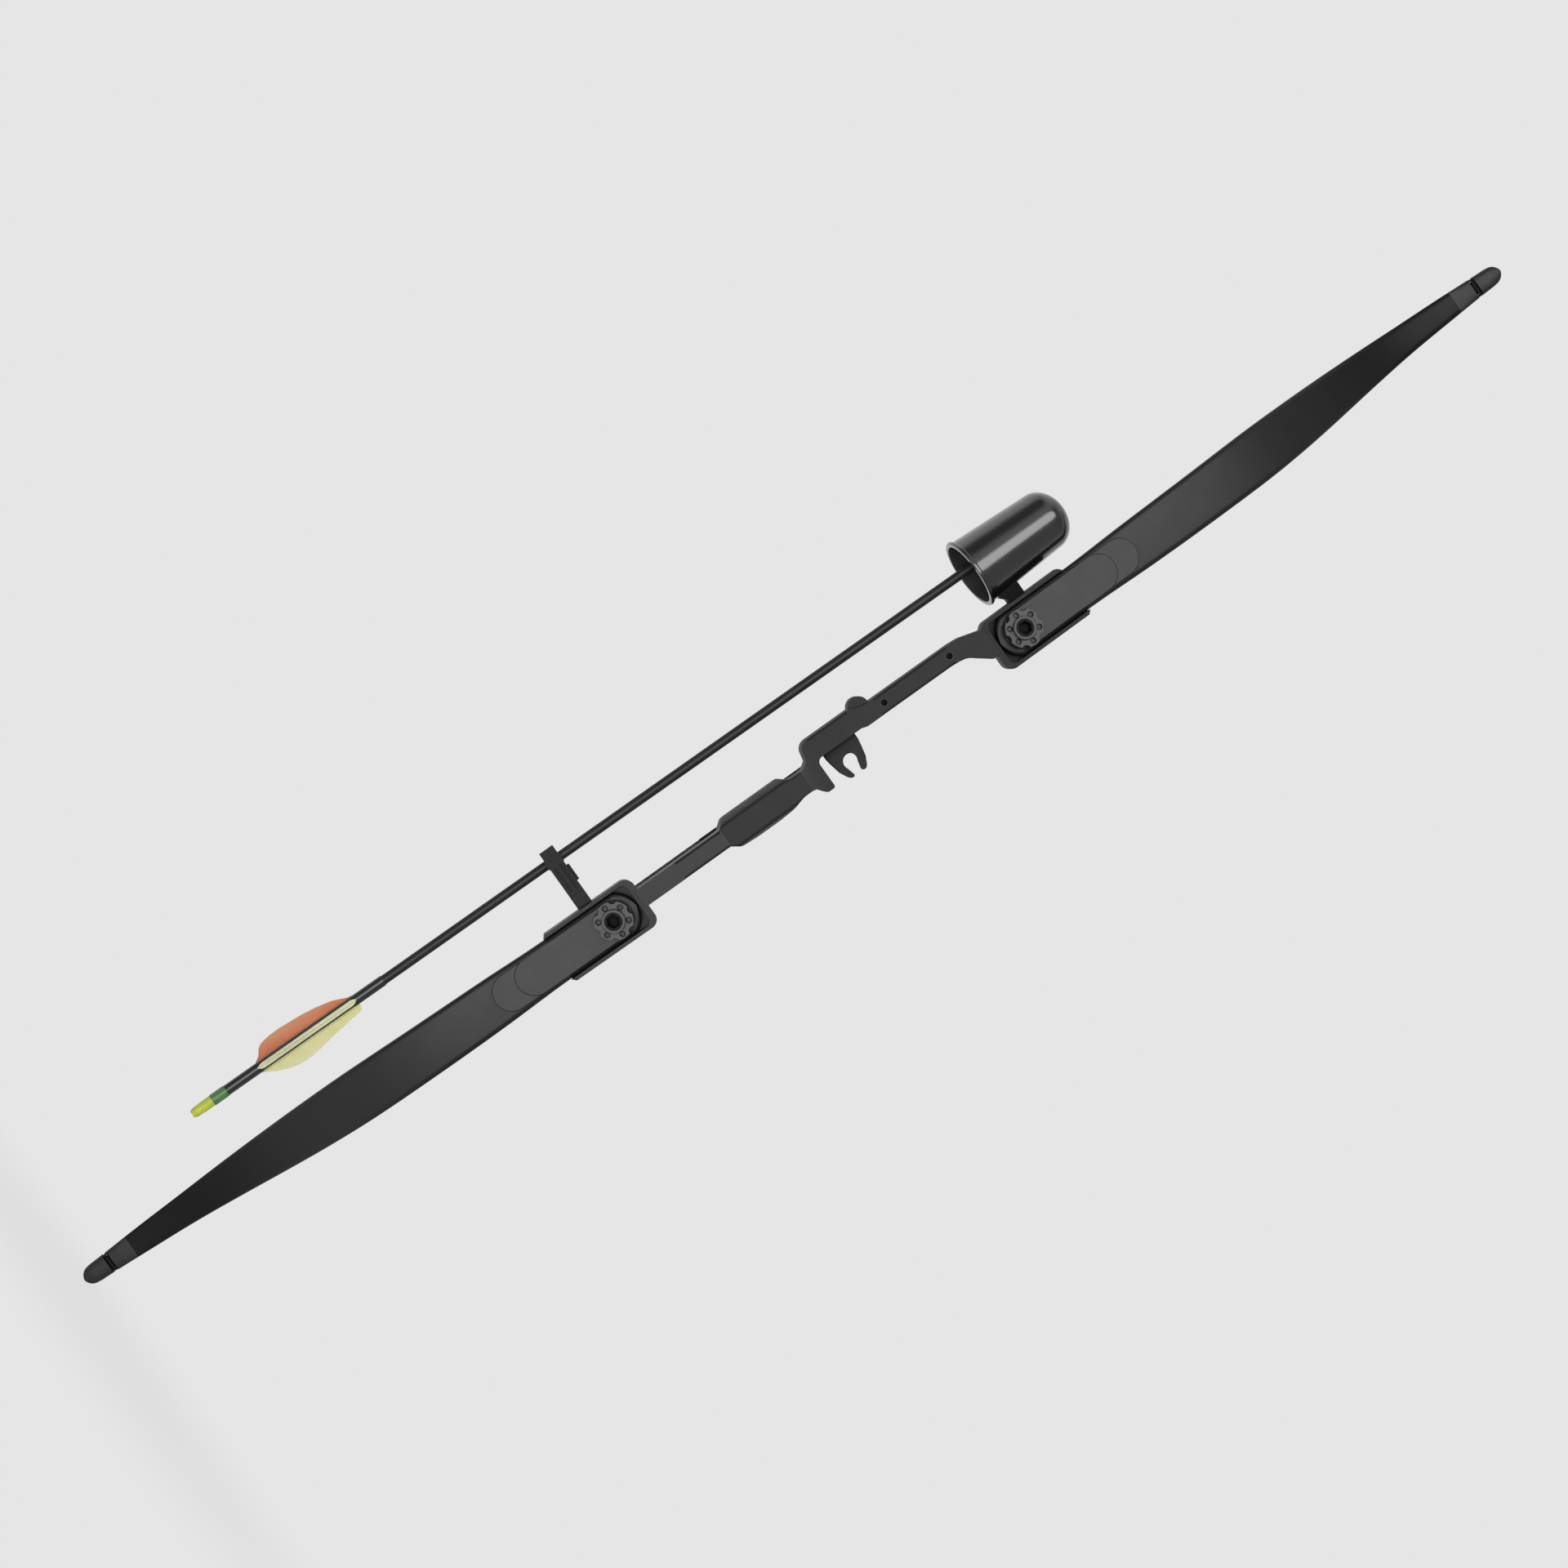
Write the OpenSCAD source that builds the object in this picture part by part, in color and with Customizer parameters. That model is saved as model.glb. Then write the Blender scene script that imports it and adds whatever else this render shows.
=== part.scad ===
// Take-down recurve bow, strung, with a two-piece bow quiver that holds one arrow.
// X points to the sight-window side, Y towards the archer and Z up the bow.
// The origin is the pivot point: the middle of the throat's rear face.

/* [Bow] */
// Height of the middle between the limb bolts above the pivot point
bow_mid = 11; // [10.5:0.1:11.5]
// Distance from that middle to each limb bolt
bolt_reach = 164; // [163:0.5:165]
// Angle by which each limb pad leans towards the archer
limb_lean = 10; // [9.5:0.1:10.5]
// Distance of a limb's back face ahead of the pivot point, at the bolt
pad_front = 20.3; // [19.8:0.1:20.6]

/* [Riser] */
// Distance of the riser's front face ahead of the pivot point
riser_front = 28; // [27.5:0.1:28.5]
// Width of the riser's web in the stub, the grip and the window section
web_w = 12.9; // [12.5:0.1:13.2]
// Distance of the web's middle left of the bow's centre plane
web_shift = 1.6; // [1.2:0.1:1.8]
// Width of the riser at the throat, above the grip
throat_w = 15.2; // [15:0.1:15.6]
// Distance of the window face left of the bow's centre plane
window_cut = 8.5; // [8:0.1:9]
// Distance of the window section's right face left of the centre plane
section_cut = 7.2; // [6.8:0.1:7.6]
// Width of the block beside the arrow shelf
block_w = 15; // [14.6:0.1:15.4]
// Reach of the arrow shelf right of the centre plane
shelf_reach = 13; // [12.6:0.1:13.6]
// Height of the arrow shelf above the pivot point
shelf_h = 15; // [14.5:0.1:15.5]
// Radius of the round boss on the riser's left side
boss_r = 7.2; // [6.5:0.1:7.5]
// Radius of the threaded hole in each sight bushing
sight_r = 2.1; // [1.5:0.1:2.4]

/* [Limb pocket] */
// Outer width of a limb pocket
pocket_w = 36.8; // [36.6:0.1:37.6]
// Thickness of a pocket's side walls
pocket_wall = 2.5; // [1.8:0.1:2.6]
// Length of a pocket from the bolt to its open end
pocket_out = 46.5; // [45:0.5:48]
// Length of a pocket from the bolt to its closed end
pocket_in = 24.3; // [23.5:0.1:25.5]
// Thickness of the pocket's end wall
pocket_end = 5.2; // [4:0.1:5.5]
// Height of the side walls above the limb's back face
pocket_lip = 2; // [1.5:0.1:2.5]
// Depth of solid material behind the limb pad
pad_depth = 13; // [12.8:0.1:14]

/* [Limb] */
// Thickness of a limb at its butt
butt_t = 7.5; // [7.2:0.1:7.8]
// Thickness of a limb at its tip
tip_t = 4.2; // [4:0.1:4.6]
// Half the width of a limb at its butt
butt_half = 15.5; // [15:0.1:15.8]
// Half the greatest width of a limb
wide_half = 18; // [17.5:0.1:18.4]
// Half the width of a limb at the string nock
nock_half = 7.3; // [7.1:0.1:7.6]
// Distance along the limb from the bolt to the string nock
nock_reach = 453.5; // [451.5:0.5:455.5]
// Length of the tip beyond the string nock
tip_l = 21; // [20:0.5:23]
// Width of the bevel along each edge of a limb's back
bevel_w = 2.4; // [2:0.1:2.8]
// Distance from the bolt to the end of the short overlay
short_end = 76; // [74:1:78]
// Distance from the bolt to the end of the long overlay
long_end = 95; // [92:1:97]
// Thickness of each overlay
overlay_t = 0.9; // [0.7:0.1:1]

/* [Limb bolt] */
// Radius of the limb bolt's thread
bolt_r = 4; // [3.5:0.1:4.2]
// Length of the threaded insert behind the pad
insert_l = 12; // [11:0.5:12.5]
// Radius of the lobed knob
knob_r = 13.2; // [12.8:0.1:13.6]
// Thickness of the knob's disc
knob_t = 5; // [4.5:0.1:5.5]
// Radius of the ring round the bolt's head
ring_r = 7.8; // [7.6:0.1:8.2]
// Size of the bolt's hexagon socket across its corners, halved
socket_r = 4.7; // [4.2:0.1:4.9]

/* [Arrow rest] */
// Depth of the rest along the shot direction
rest_depth = 12; // [10:0.5:14]
// Half the height of the rest's base
rest_half = 12.4; // [12:0.1:12.8]
// Radius of the rest's round opening
rest_r = 5.3; // [5:0.1:5.6]

/* [Quiver] */
// Outer radius of the hood at its mouth, without the lip
hood_r = 23.9; // [23.4:0.1:24.2]
// Outer radius of the hood where its dome starts
hood_top_r = 19.5; // [19:0.1:20]
// Length of the hood's tapered wall
hood_l = 62; // [60:0.5:64]
// Height of the hood's dome
dome_h = 16.4; // [15.5:0.1:17.5]
// Thickness of the hood's wall
hood_wall = 2.2; // [1.8:0.1:2.4]
// Angle by which the hood leans towards the archer
hood_lean = 9; // [8.5:0.1:9.5]
// Thickness of the gripper's arm, up the bow
arm_h = 10.4; // [10:0.1:10.8]

/* [Arrow] */
// Radius of the arrow's shaft
shaft_r = 3.2; // [3:0.05:3.25]
// Length of the arrow from the nock's end to the point's tip
arrow_l = 680; // [676:1:684]
// Radius of the wrap round the shaft's rear
wrap_r = 3.65; // [3.6:0.05:3.9]
// Height of a vane above the wrap
vane_h = 12.4; // [11.6:0.1:13]
// Length of a vane
vane_l = 78; // [74:1:80]

/* [String] */
// Radius of the bowstring
string_r = 1; // [0.9:0.05:1.1]
// Radius of the serving round the string's middle
serving_r = 1.3; // [1.2:0.05:1.4]
// Length of the serving round the string's middle
serving_l = 150; // [120:5:170]

/* [Hidden] */

$fn = 64;

// Running clearance of a turning or sliding fit, on the radius
fit = 0.05;
// Clearance between pieces that only pass each other
gap = 0.3;
// Length by which a cutting tool passes the face that it cuts
over = 1;

// Limb shape: tangent angle in degrees at distances from the bolt
butt_r = butt_half + 1.7;
straight_l = 97;
bend = [[-20, limb_lean], [straight_l, limb_lean], [130, 16], [170, 23.5], [215, 31], [260, 38], [305, 40.6],
    [350, 35.2], [390, 23.5], [425, 11.5], [460, 2], [480, 1]];
widths = [[0, butt_half], [45, butt_half], [100, 16.9], [160, 17.7], [215, wide_half], [260, 17],
    [305, 15.2], [350, 12.9], [390, 10.6], [425, 8.9], [nock_reach, nock_half],
    [nock_reach + tip_l, nock_half - 0.8]];
thicks = [[0, butt_t], [straight_l, butt_t], [160, 6.2], [260, 5], [350, 4.4], [425, tip_t], [480, tip_t]];
path_step = 2;
limb_end = nock_reach + tip_l;

// A smooth value between the rows of a table: cubic pieces with centred slopes, level beside a level piece
function row_of(t, x, i = 0) = i >= len(t) - 2 || x < t[i + 1][0] ? i : row_of(t, x, i + 1);
function slope(t, i) =
    let (a = max(i - 1, 0), b = min(i + 1, len(t) - 1), level = t[i][1] == t[a][1] || t[i][1] == t[b][1])
    level && a < i && i < b ? 0 : (t[b][1] - t[a][1]) / (t[b][0] - t[a][0]);
function smooth(t, x) =
    x <= t[0][0] ? t[0][1] :
    let (i = row_of(t, x), h = t[i + 1][0] - t[i][0], q = min((x - t[i][0]) / h, 1))
    (2 * q * q * q - 3 * q * q + 1) * t[i][1] + (q * q * q - 2 * q * q + q) * h * slope(t, i)
    + (3 * q * q - 2 * q * q * q) * t[i + 1][1] + (q * q * q - q * q) * h * slope(t, i + 1);

// Points of the limb's back face, as [y, height from the bow's middle], every path_step from the butt
function heading(s) = [sin(smooth(bend, s)), cos(smooth(bend, s))];
path_start = -20;
path = [for (s = path_start, p = [-pad_front, bolt_reach] + heading(0) * path_start;
        s <= limb_end + path_step;
        p = p + heading(s + path_step / 2) * path_step, s = s + path_step) p];
function back(s) =
    let (f = (s - path_start) / path_step, i = floor(f)) path[i] + (path[i + 1] - path[i]) * (f - i);
// A point at x, t behind the back face and s along the limb, in the upper half's frame
function limb_point(x, t, s) =
    let (p = back(s), d = heading(s)) [x, p[0] + t * d[1], p[1] - t * d[0]];
function half_width(s) =
    s < 0 ? min(butt_half, sqrt(max(butt_r * butt_r - s * s, 0.04))) :
    s > limb_end - nock_half ?
        (nock_half - 0.8) * sqrt(max(1 - pow((s - limb_end + nock_half) / nock_half, 2), 0.03)) :
    smooth(widths, s);
function thick(s) = smooth(thicks, s);

// Solid through rings of equal point counts, closed at both ends
module loft(rings) {
    n = len(rings[0]);
    m = len(rings);
    polyhedron(points = [for (r = rings) each r],
        faces = concat(
            [for (i = [1:n - 2]) [0, i, i + 1]],
            [for (i = [1:n - 2]) [(m - 1) * n, (m - 1) * n + i + 1, (m - 1) * n + i]],
            [for (j = [0:m - 2], i = [0:n - 1]) [j * n + i, (j + 1) * n + i, (j + 1) * n + (i + 1) % n]],
            [for (j = [0:m - 2], i = [0:n - 1]) [j * n + i, (j + 1) * n + (i + 1) % n, j * n + (i + 1) % n]]),
        convexity = 6);
}

// Round tube through the points of a route
module tube(route, r, sides = 8) {
    last = len(route) - 1;
    loft([for (i = [0:last])
        let (t = route[min(i + 1, last)] - route[max(i - 1, 0)], d = t / norm(t),
            u0 = cross(d, abs(d[1]) > 0.9 ? [0, 0, 1] : [0, 1, 0]), u = u0 / norm(u0), v = cross(d, u))
        [for (k = [0:sides - 1]) route[i] + r * (cos(360 * k / sides) * u + sin(360 * k / sides) * v)]]);
}

// Outline in x and z, made solid from y0 to y1
module slab(y0, y1) {
    translate([0, y1, 0]) rotate([90, 0, 0]) linear_extrude(y1 - y0) children();
}
// Outline in y and z, made solid from x0 to x1
module side_slab(x0, x1) {
    translate([x0, 0, 0]) rotate([90, 0, 90]) linear_extrude(x1 - x0) children();
}
// Straight round bar from y0 to y1
module bar_y(r, y0, y1) {
    translate([0, y0, 0]) rotate([-90, 0, 0]) cylinder(r = r, h = y1 - y0);
}
// Straight round bar from x0 to x1
module bar_x(r, x0, x1) {
    translate([x0, 0, 0]) rotate([0, 90, 0]) cylinder(r = r, h = x1 - x0);
}

// The two halves of the bow, each seen from the middle between the bolts
module upper() {
    translate([0, 0, bow_mid]) children();
}
module lower() {
    translate([0, 0, bow_mid]) mirror([0, 0, 1]) children();
}
// A pocket's own frame: origin on the limb's back face at the bolt, z along the limb, y into the riser
module at_pocket() {
    translate([0, -pad_front, bolt_reach]) rotate([-limb_lean, 0, 0]) children();
}

// Riser

corner_r = 6.5;
grip_low = -63;
grip_top = 1.2;
web_left = web_shift + web_w / 2;
web_right = web_w / 2 - web_shift;
throat_left = web_shift + throat_w / 2 - 0.5;
throat_right = throat_w / 2 - web_shift + 0.5;
section_left = section_cut + web_w;
block_left = window_cut + block_w;
block_r = 7.5;
block_z = shelf_h + 2.3;
boss_x = boss_r - 28;
boss_z = 57.6;
pocket_low = 140.6;
neck_in = pocket_low + pocket_end / 2;
shelf_fillet = 4;
edge_cut = 2.2;
neck_z = bow_mid + 137.5;
// Part of the web inside the moulded grip
core_w = 10.4;
core_front = 2;
core_left = web_shift + core_w / 2;
core_right = core_w / 2 - web_shift;
riser_outline = concat(
    [[-web_left, bow_mid - neck_in], [-web_left, grip_low], [-core_left, grip_low], [-core_left, grip_top],
        [-throat_left, grip_top], [-throat_left, 4], [-throat_left - 1.6, 6.4],
        [-block_left + block_r + 4, 8.8]],
    [for (a = [250:-10:180]) [-block_left + block_r + block_r * cos(a), block_z + block_r * sin(a)]],
    [[-block_left, 51], [-section_left, 59], [-section_left, bow_mid + 119],
        [-section_left + 0.6, bow_mid + 127],
        [-section_left + 2.6, bow_mid + 134], [-section_left + 4.4, bow_mid + pocket_low],
        [-section_left + 4.4, bow_mid + neck_in]],
    [[4.9, bow_mid + neck_in], [4.9, neck_z], [2.4, neck_z - 3.2], [-0.8, neck_z - 7.4],
        [-3.2, neck_z - 10.4], [-4.8, neck_z - 12.9], [-6, neck_z - 15.4], [-6.8, neck_z - 19.6],
        [-section_cut, neck_z - 26], [-section_cut, 55], [-window_cut, 51]],
    [for (a = [180:15:270]) [-window_cut + shelf_fillet + shelf_fillet * cos(a),
        shelf_h + shelf_fillet + shelf_fillet * sin(a)]],
    [[shelf_reach - 1, shelf_h], [shelf_reach, shelf_h - 1.2], [shelf_reach, shelf_h - 5.6],
        [shelf_reach - 0.8, shelf_h - 6.8], [throat_right + 1.6, shelf_h - 10],
        [throat_right + 0.4, shelf_h - 11.4], [throat_right, grip_top], [core_right, grip_top],
        [core_right, grip_low], [web_right, grip_low], [web_right, bow_mid - neck_in]]);
riser_side = [[1 - riser_front, bow_mid - neck_in], [-riser_front, -100], [-riser_front, grip_low],
    [core_front - riser_front, grip_low], [core_front - riser_front, grip_top], [-riser_front, grip_top],
    [-riser_front, 130], [1 - riser_front, bow_mid + neck_in], [-6, bow_mid + neck_in], [-4, 128], [-2, 70],
    [0, 50], [0, grip_top], [-3, grip_top], [-3, -12], [0, -30], [0, -52], [-4, grip_low], [-1, grip_low],
    [-5, -74], [-6, bow_mid - neck_in]];
core_side = [[core_front - riser_front, grip_low - over], [core_front - riser_front, grip_top + over],
    [-3, grip_top + over], [-3, -12], [0, -30], [0, -52], [-4, grip_low], [-4, grip_low - over]];
rest_z = 33.4;
recess = 2.2;
rest_y = -14;
sight_x = (section_left + section_cut) / 2;
sight_zs = [72.8, 125.4];
bushing_r = 3.6;
bushing_l = 10;
screw_r = 1.5;
pin_r = 2.5;
pin_z = 26;
pin_in = 8;
insert_r = bolt_r + 2.2;

module pocket_outline(half, low, high, corner) {
    union() {
        translate([-half, low + corner]) square([2 * half, high - low - corner]);
        translate([corner - half, low]) square([2 * (half - corner), corner + over]);
        for (side = [-1, 1])
            translate([side * (half - corner), low + corner]) circle(corner);
    }
}

module pocket_outline_outer() {
    end_cut = 3.5;
    difference() {
        translate([0, bolt_reach]) pocket_outline(pocket_w / 2, pocket_low - bolt_reach, pocket_out, corner_r);
        for (side = [-1, 1])
            translate([side * pocket_w / 2, bolt_reach + pocket_out]) rotate(45)
                square(end_cut * sqrt(2), center = true);
    }
}

// A pocket in the upper half's frame: its closed end is square to the bow, the rest leans with the limb
module pocket_body() {
    difference() {
        intersection() {
            slab(-60, 60) pocket_outline_outer();
            at_pocket() translate([-60, -pocket_lip, -60])
                cube([120, pocket_lip + butt_t + pad_depth, 60 + pocket_out]);
        }
        at_pocket() slab(-pocket_lip - over, butt_t)
            pocket_outline(pocket_w / 2 - pocket_wall, pocket_end - pocket_in, pocket_out + 3 * over,
                corner_r - 2);
    }
}

module pocket_bores() {
    bar_y(insert_r, butt_t - over, butt_t + insert_l);
    translate([0, 0, pin_z]) bar_y(pin_r, butt_t - over, butt_t + pin_in);
}

// Long prism that takes the corner off a front edge
module edge_prism(x, z0, z1) {
    translate([x, -riser_front, z0]) rotate([0, 0, 45])
        translate([-edge_cut / 2, -edge_cut / 2, 0]) cube([edge_cut, edge_cut, z1 - z0]);
}

module riser_web() {
    intersection() {
        slab(-40, 40) polygon(riser_outline);
        side_slab(-40, 40) polygon(riser_side);
    }
}

// Screw holes for the quiver's two brackets, in the left side of each pocket
bracket_ys = [butt_t + 3.2, butt_t + 9.8];
bracket_z = 9.6;
side_screw_l = 9;

module riser() {
    color("dimgray")
    difference() {
        union() {
            difference() {
                riser_web();
                for (x = [-web_left, web_right])
                    edge_prism(x, -100, grip_low - 1);
                for (x = [-section_left, -section_cut])
                    edge_prism(x, 68, 126);
                edge_prism(-block_left, 17, 49);
            }
            translate([boss_x, 0, boss_z]) bar_y(boss_r, 4 - riser_front, -3);
            upper() pocket_body();
            lower() pocket_body();
        }
        upper() at_pocket() pocket_bores();
        lower() at_pocket() pocket_bores();
        upper() at_pocket() translate([0, 0, bracket_z]) side_screw_holes();
        lower() at_pocket() translate([0, 0, bracket_z]) side_screw_holes();
        translate([-window_cut - recess, rest_y - rest_depth / 2 - fit, rest_z - rest_half - fit])
            cube([recess + over, rest_depth + 2 * fit, 2 * (rest_half + fit)]);
        for (z = sight_zs)
            translate([-sight_x, 0, z]) bar_y(bushing_r, -riser_front - over, bushing_l - riser_front);
    }
}

module side_screw_holes() {
    for (y = bracket_ys)
        translate([0, y, 0]) bar_x(screw_r, -pocket_w / 2 - over, side_screw_l - pocket_w / 2);
}

// Grip: one moulded sleeve round the riser's core, wide at the palm and narrow at the throat

grip_left = 13.4;
grip_right = 11;
grip_rear = 12;

// Plan outline of the grip on one side of the bow's centre plane, from its front to the middle of its back
function grip_half(half) = concat(
    [[half * 0.62, -riser_front], [half * 0.75, 0.8 - riser_front], [half * 0.88, -21],
        [half * 0.97, -14], [half, -7]],
    [for (a = [0:10:90]) [half * cos(a), -2 + (grip_rear + 2) * sin(a)]]);
module grip_plan() {
    left = grip_half(grip_left);
    polygon(concat(grip_half(grip_right), [for (i = [len(left) - 2:-1:0]) [-left[i][0], left[i][1]]]));
}
// Front outline of the grip: the palm swell between the stub and the throat
grip_face = concat(
    [[-web_left, grip_low], [-grip_left + 0.6, grip_low + 4.4], [-grip_left, grip_low + 6], [-grip_left, -13],
        [-throat_left - 2.4, -10.4], [-throat_left, -7.2], [-throat_left, grip_top]],
    [[throat_right, grip_top], [throat_right, -5], [throat_right + 1.1, -9.6]],
    [for (q = [0.1:0.1:0.9]) [grip_right - 2.4 + 2.4 * sin(180 * q), -9.6 - (grip_low + 9.6) * -q]],
    [[grip_right - 4.2, grip_low + 2.2], [web_right, grip_low]]);
grip_side = [[-riser_front, grip_low], [grip_rear - 5, grip_low], [grip_rear - 1.4, -56],
    [grip_rear, -44], [grip_rear - 1, -30], [8, -20], [3, -10], [0.6, -4], [0, grip_top],
    [-riser_front, grip_top]];

module grip() {
    color("#3f4044") difference() {
        intersection() {
            translate([0, 0, grip_low]) linear_extrude(grip_top - grip_low) grip_plan();
            side_slab(-40, 40) polygon(grip_side);
            slab(-40, 40) polygon(grip_face);
        }
        intersection() {
            translate([-core_left, -40, grip_low - over]) cube([core_w, 80, grip_top - grip_low + 2 * over]);
            side_slab(-40, 40) polygon(core_side);
        }
    }
}

module sight_bushings() {
    color("black")
    for (z = sight_zs)
        translate([-sight_x, 0, z]) difference() {
            bar_y(bushing_r, -riser_front, bushing_l - riser_front);
            bar_y(sight_r, -riser_front - over, bushing_l - riser_front + over);
        }
}

module insert_body() {
    difference() {
        bar_y(insert_r, butt_t, butt_t + insert_l);
        bar_y(bolt_r, butt_t - over, butt_t + insert_l + over);
    }
}

module limb_inserts() {
    color("goldenrod") {
        upper() at_pocket() insert_body();
        lower() at_pocket() insert_body();
    }
}

pin_up = 4;
module pin_body() {
    translate([0, 0, pin_z]) bar_y(pin_r, butt_t - pin_up, butt_t + pin_in);
}

module limb_pins() {
    color("silver") {
        upper() at_pocket() pin_body();
        lower() at_pocket() pin_body();
    }
}

// Limbs

bevel_t = 1.4;
belly_cut = 0.8;
// The cap on a limb's tip has its rings at the limb's own stations
cap_start = nock_reach - 20;
cap_stations = [cap_start, nock_reach - 14, nock_reach - 8, nock_reach - 2.6, nock_reach - 2.2,
    nock_reach + 2.2, nock_reach + 2.6, limb_end - nock_half, limb_end - 4.6, limb_end - 2.6,
    limb_end - 1.1, limb_end - 0.3];
stations = concat([-butt_r + 0.02, -butt_r + 0.5, -butt_r + 1.8, -butt_r + 4, -butt_r + 7.5, -5, 0, 24, 48, 72],
    [for (s = [straight_l:11:cap_start - 4]) s], cap_stations, [limb_end]);
bolt_hole_r = bolt_r + gap;
// Place of the string loop's legs beside the nock, and the radius of the grooves they lie in
groove_x = nock_half - 1.2;
groove_r = string_r + gap;

function limb_ring(s) =
    let (w = half_width(s), t = thick(s), b = min(bevel_w, w * 0.4), c = min(belly_cut, w * 0.2))
    [for (p = [[b - w, 0], [w - b, 0], [w, bevel_t], [w, t - c], [w - c, t], [c - w, t], [-w, t - c],
        [-w, bevel_t]]) limb_point(p[0], p[1], s)];

module nock_grooves() {
    p = limb_point(0, 0, nock_reach);
    for (side = [-1, 1])
        translate([side * groove_x, p[1], p[2]]) rotate([-smooth(bend, nock_reach), 0, 0]) {
            bar_y(groove_r, -6, 12);
            translate([(side - 1) * groove_r, -6, -groove_r]) cube([2 * groove_r, 18, 2 * groove_r]);
        }
}

module limb_body() {
    difference() {
        loft([for (s = stations) limb_ring(s)]);
        at_pocket() bar_y(bolt_hole_r, -over, butt_t + over);
        at_pocket() translate([0, 0, pin_z]) bar_y(pin_r + fit, butt_t - pin_up - 0.4, butt_t + over);
        nock_grooves();
    }
}

overlay_half = butt_half - bevel_w;
module overlay(end, y) {
    color("#26272a")
    at_pocket() difference() {
        slab(y - overlay_t, y) union() {
            circle(overlay_half);
            translate([-overlay_half, 0]) square([2 * overlay_half, end - overlay_half]);
            translate([0, end - overlay_half]) circle(overlay_half);
        }
        bar_y(bolt_hole_r, -10, over);
    }
}

// Cap on the back of a limb's tip, with a channel across it for the string loop
cap_rise = [[cap_start, 0.3], [nock_reach - 8, 1.5], [nock_reach - 2.6, 1.7], [nock_reach - 2.2, 0.3],
    [nock_reach + 2.2, 0.3], [nock_reach + 2.6, 2.4], [limb_end - 6, 2.6], [limb_end, 1.4]];
function cap_ring(s) =
    let (w = half_width(s), b = min(bevel_w, w * 0.4), h = lookup(s, cap_rise), c = min(h * 0.7, w * 0.3))
    [for (p = [[b - w, 0], [b - w + 0.1, -h * 0.4], [b - w + c, -h], [w - b - c, -h], [w - b - 0.1, -h * 0.4],
        [w - b, 0]]) limb_point(p[0], p[1], s)];

module tip_body() {
    difference() {
        loft([for (s = cap_stations) [for (i = [5:-1:0]) cap_ring(s)[i]]]);
        nock_grooves();
    }
}

module upper_limb() {
    color("#202124") upper() limb_body();
}
module upper_long_overlay() {
    upper() overlay(long_end, 0);
}
module upper_short_overlay() {
    upper() overlay(short_end, -overlay_t);
}
module upper_tip() {
    color("#2c2d30") upper() tip_body();
}
module lower_limb() {
    color("#202124") lower() limb_body();
}
module lower_long_overlay() {
    lower() overlay(long_end, 0);
}
module lower_short_overlay() {
    lower() overlay(short_end, -overlay_t);
}
module lower_tip() {
    color("#2c2d30") lower() tip_body();
}

// Limb bolts: lobed knob, socket-head bolt pressed into it, and the washer under it

washer_t = 1.5;
washer_r = 11;
stack = 2 * overlay_t;
knob_low = -stack - washer_t;
knob_top = knob_low - knob_t;
ring_t = 2;
head_r = ring_r - 1.8;
head_t = 5;
head_seat = knob_low - 2;

module knob_body() {
    lobes = 6;
    notch_r = 3.1;
    notch_out = 1.3;
    pocket_r = 2;
    pocket_at = knob_r - 3.2;
    difference() {
        union() {
            bar_y(knob_r, knob_top, knob_low);
            bar_y(ring_r, knob_top - ring_t, knob_top);
        }
        for (i = [0:lobes - 1])
            rotate([0, 360 / lobes * (i + 0.5), 0]) translate([knob_r + notch_out, 0, 0])
                bar_y(notch_r, knob_top - over, knob_low + over);
        for (i = [0:lobes - 1])
            rotate([0, 360 / lobes * i, 0]) translate([pocket_at, 0, 0])
                bar_y(pocket_r, knob_top - over, knob_top + 1.2);
        bar_y(head_r, knob_top - ring_t - over, head_seat);
        bar_y(bolt_r - fit, head_seat - over, knob_low + over);
    }
}

module bolt_body() {
    difference() {
        union() {
            bar_y(head_r, head_seat - head_t, head_seat);
            bar_y(bolt_r - fit, head_seat - fit, butt_t + insert_l - 0.5);
        }
        translate([0, head_seat - 1.2, 0]) rotate([90, 30, 0]) cylinder(r = socket_r, h = head_t, $fn = 6);
    }
}

module washer_body() {
    difference() {
        bar_y(washer_r, knob_low, -stack);
        bar_y(bolt_r, -10, over);
    }
}

module upper_limb_knob() {
    color("#1b1c1e") upper() at_pocket() knob_body();
}
module upper_limb_bolt() {
    color("#141414") upper() at_pocket() bolt_body();
}
module upper_limb_washer() {
    color("gray") upper() at_pocket() washer_body();
}
module lower_limb_knob() {
    color("#1b1c1e") lower() at_pocket() knob_body();
}
module lower_limb_bolt() {
    color("#141414") lower() at_pocket() bolt_body();
}
module lower_limb_washer() {
    color("gray") lower() at_pocket() washer_body();
}

// Arrow rest: a fork that opens to the right, on a foam pad in the riser's recess

pad_t = 1;
rest_mid_x = 5.4;
rest_tip_x = 15;
rest_tip_half = 6.9;
mouth_half = 3.1;
base_x = pad_t - window_cut - recess;

// Upper half of the fork's outline: round inside, tapering arm, rounded tip
function fork_half() = concat(
    [[base_x, rest_half], [-4, rest_half], [1.5, rest_half - 1], [8, rest_half - 2.4]],
    [[rest_tip_x - 1.6, rest_tip_half + 0.4], [rest_tip_x - 0.4, rest_tip_half - 0.8]],
    [[rest_tip_x, rest_tip_half - 2], [rest_tip_x - 0.3, mouth_half + 0.5], [rest_tip_x - 1.2, mouth_half]],
    [for (a = [60:15:165]) [rest_mid_x + rest_r * cos(a), rest_r * sin(a)]]);

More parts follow.
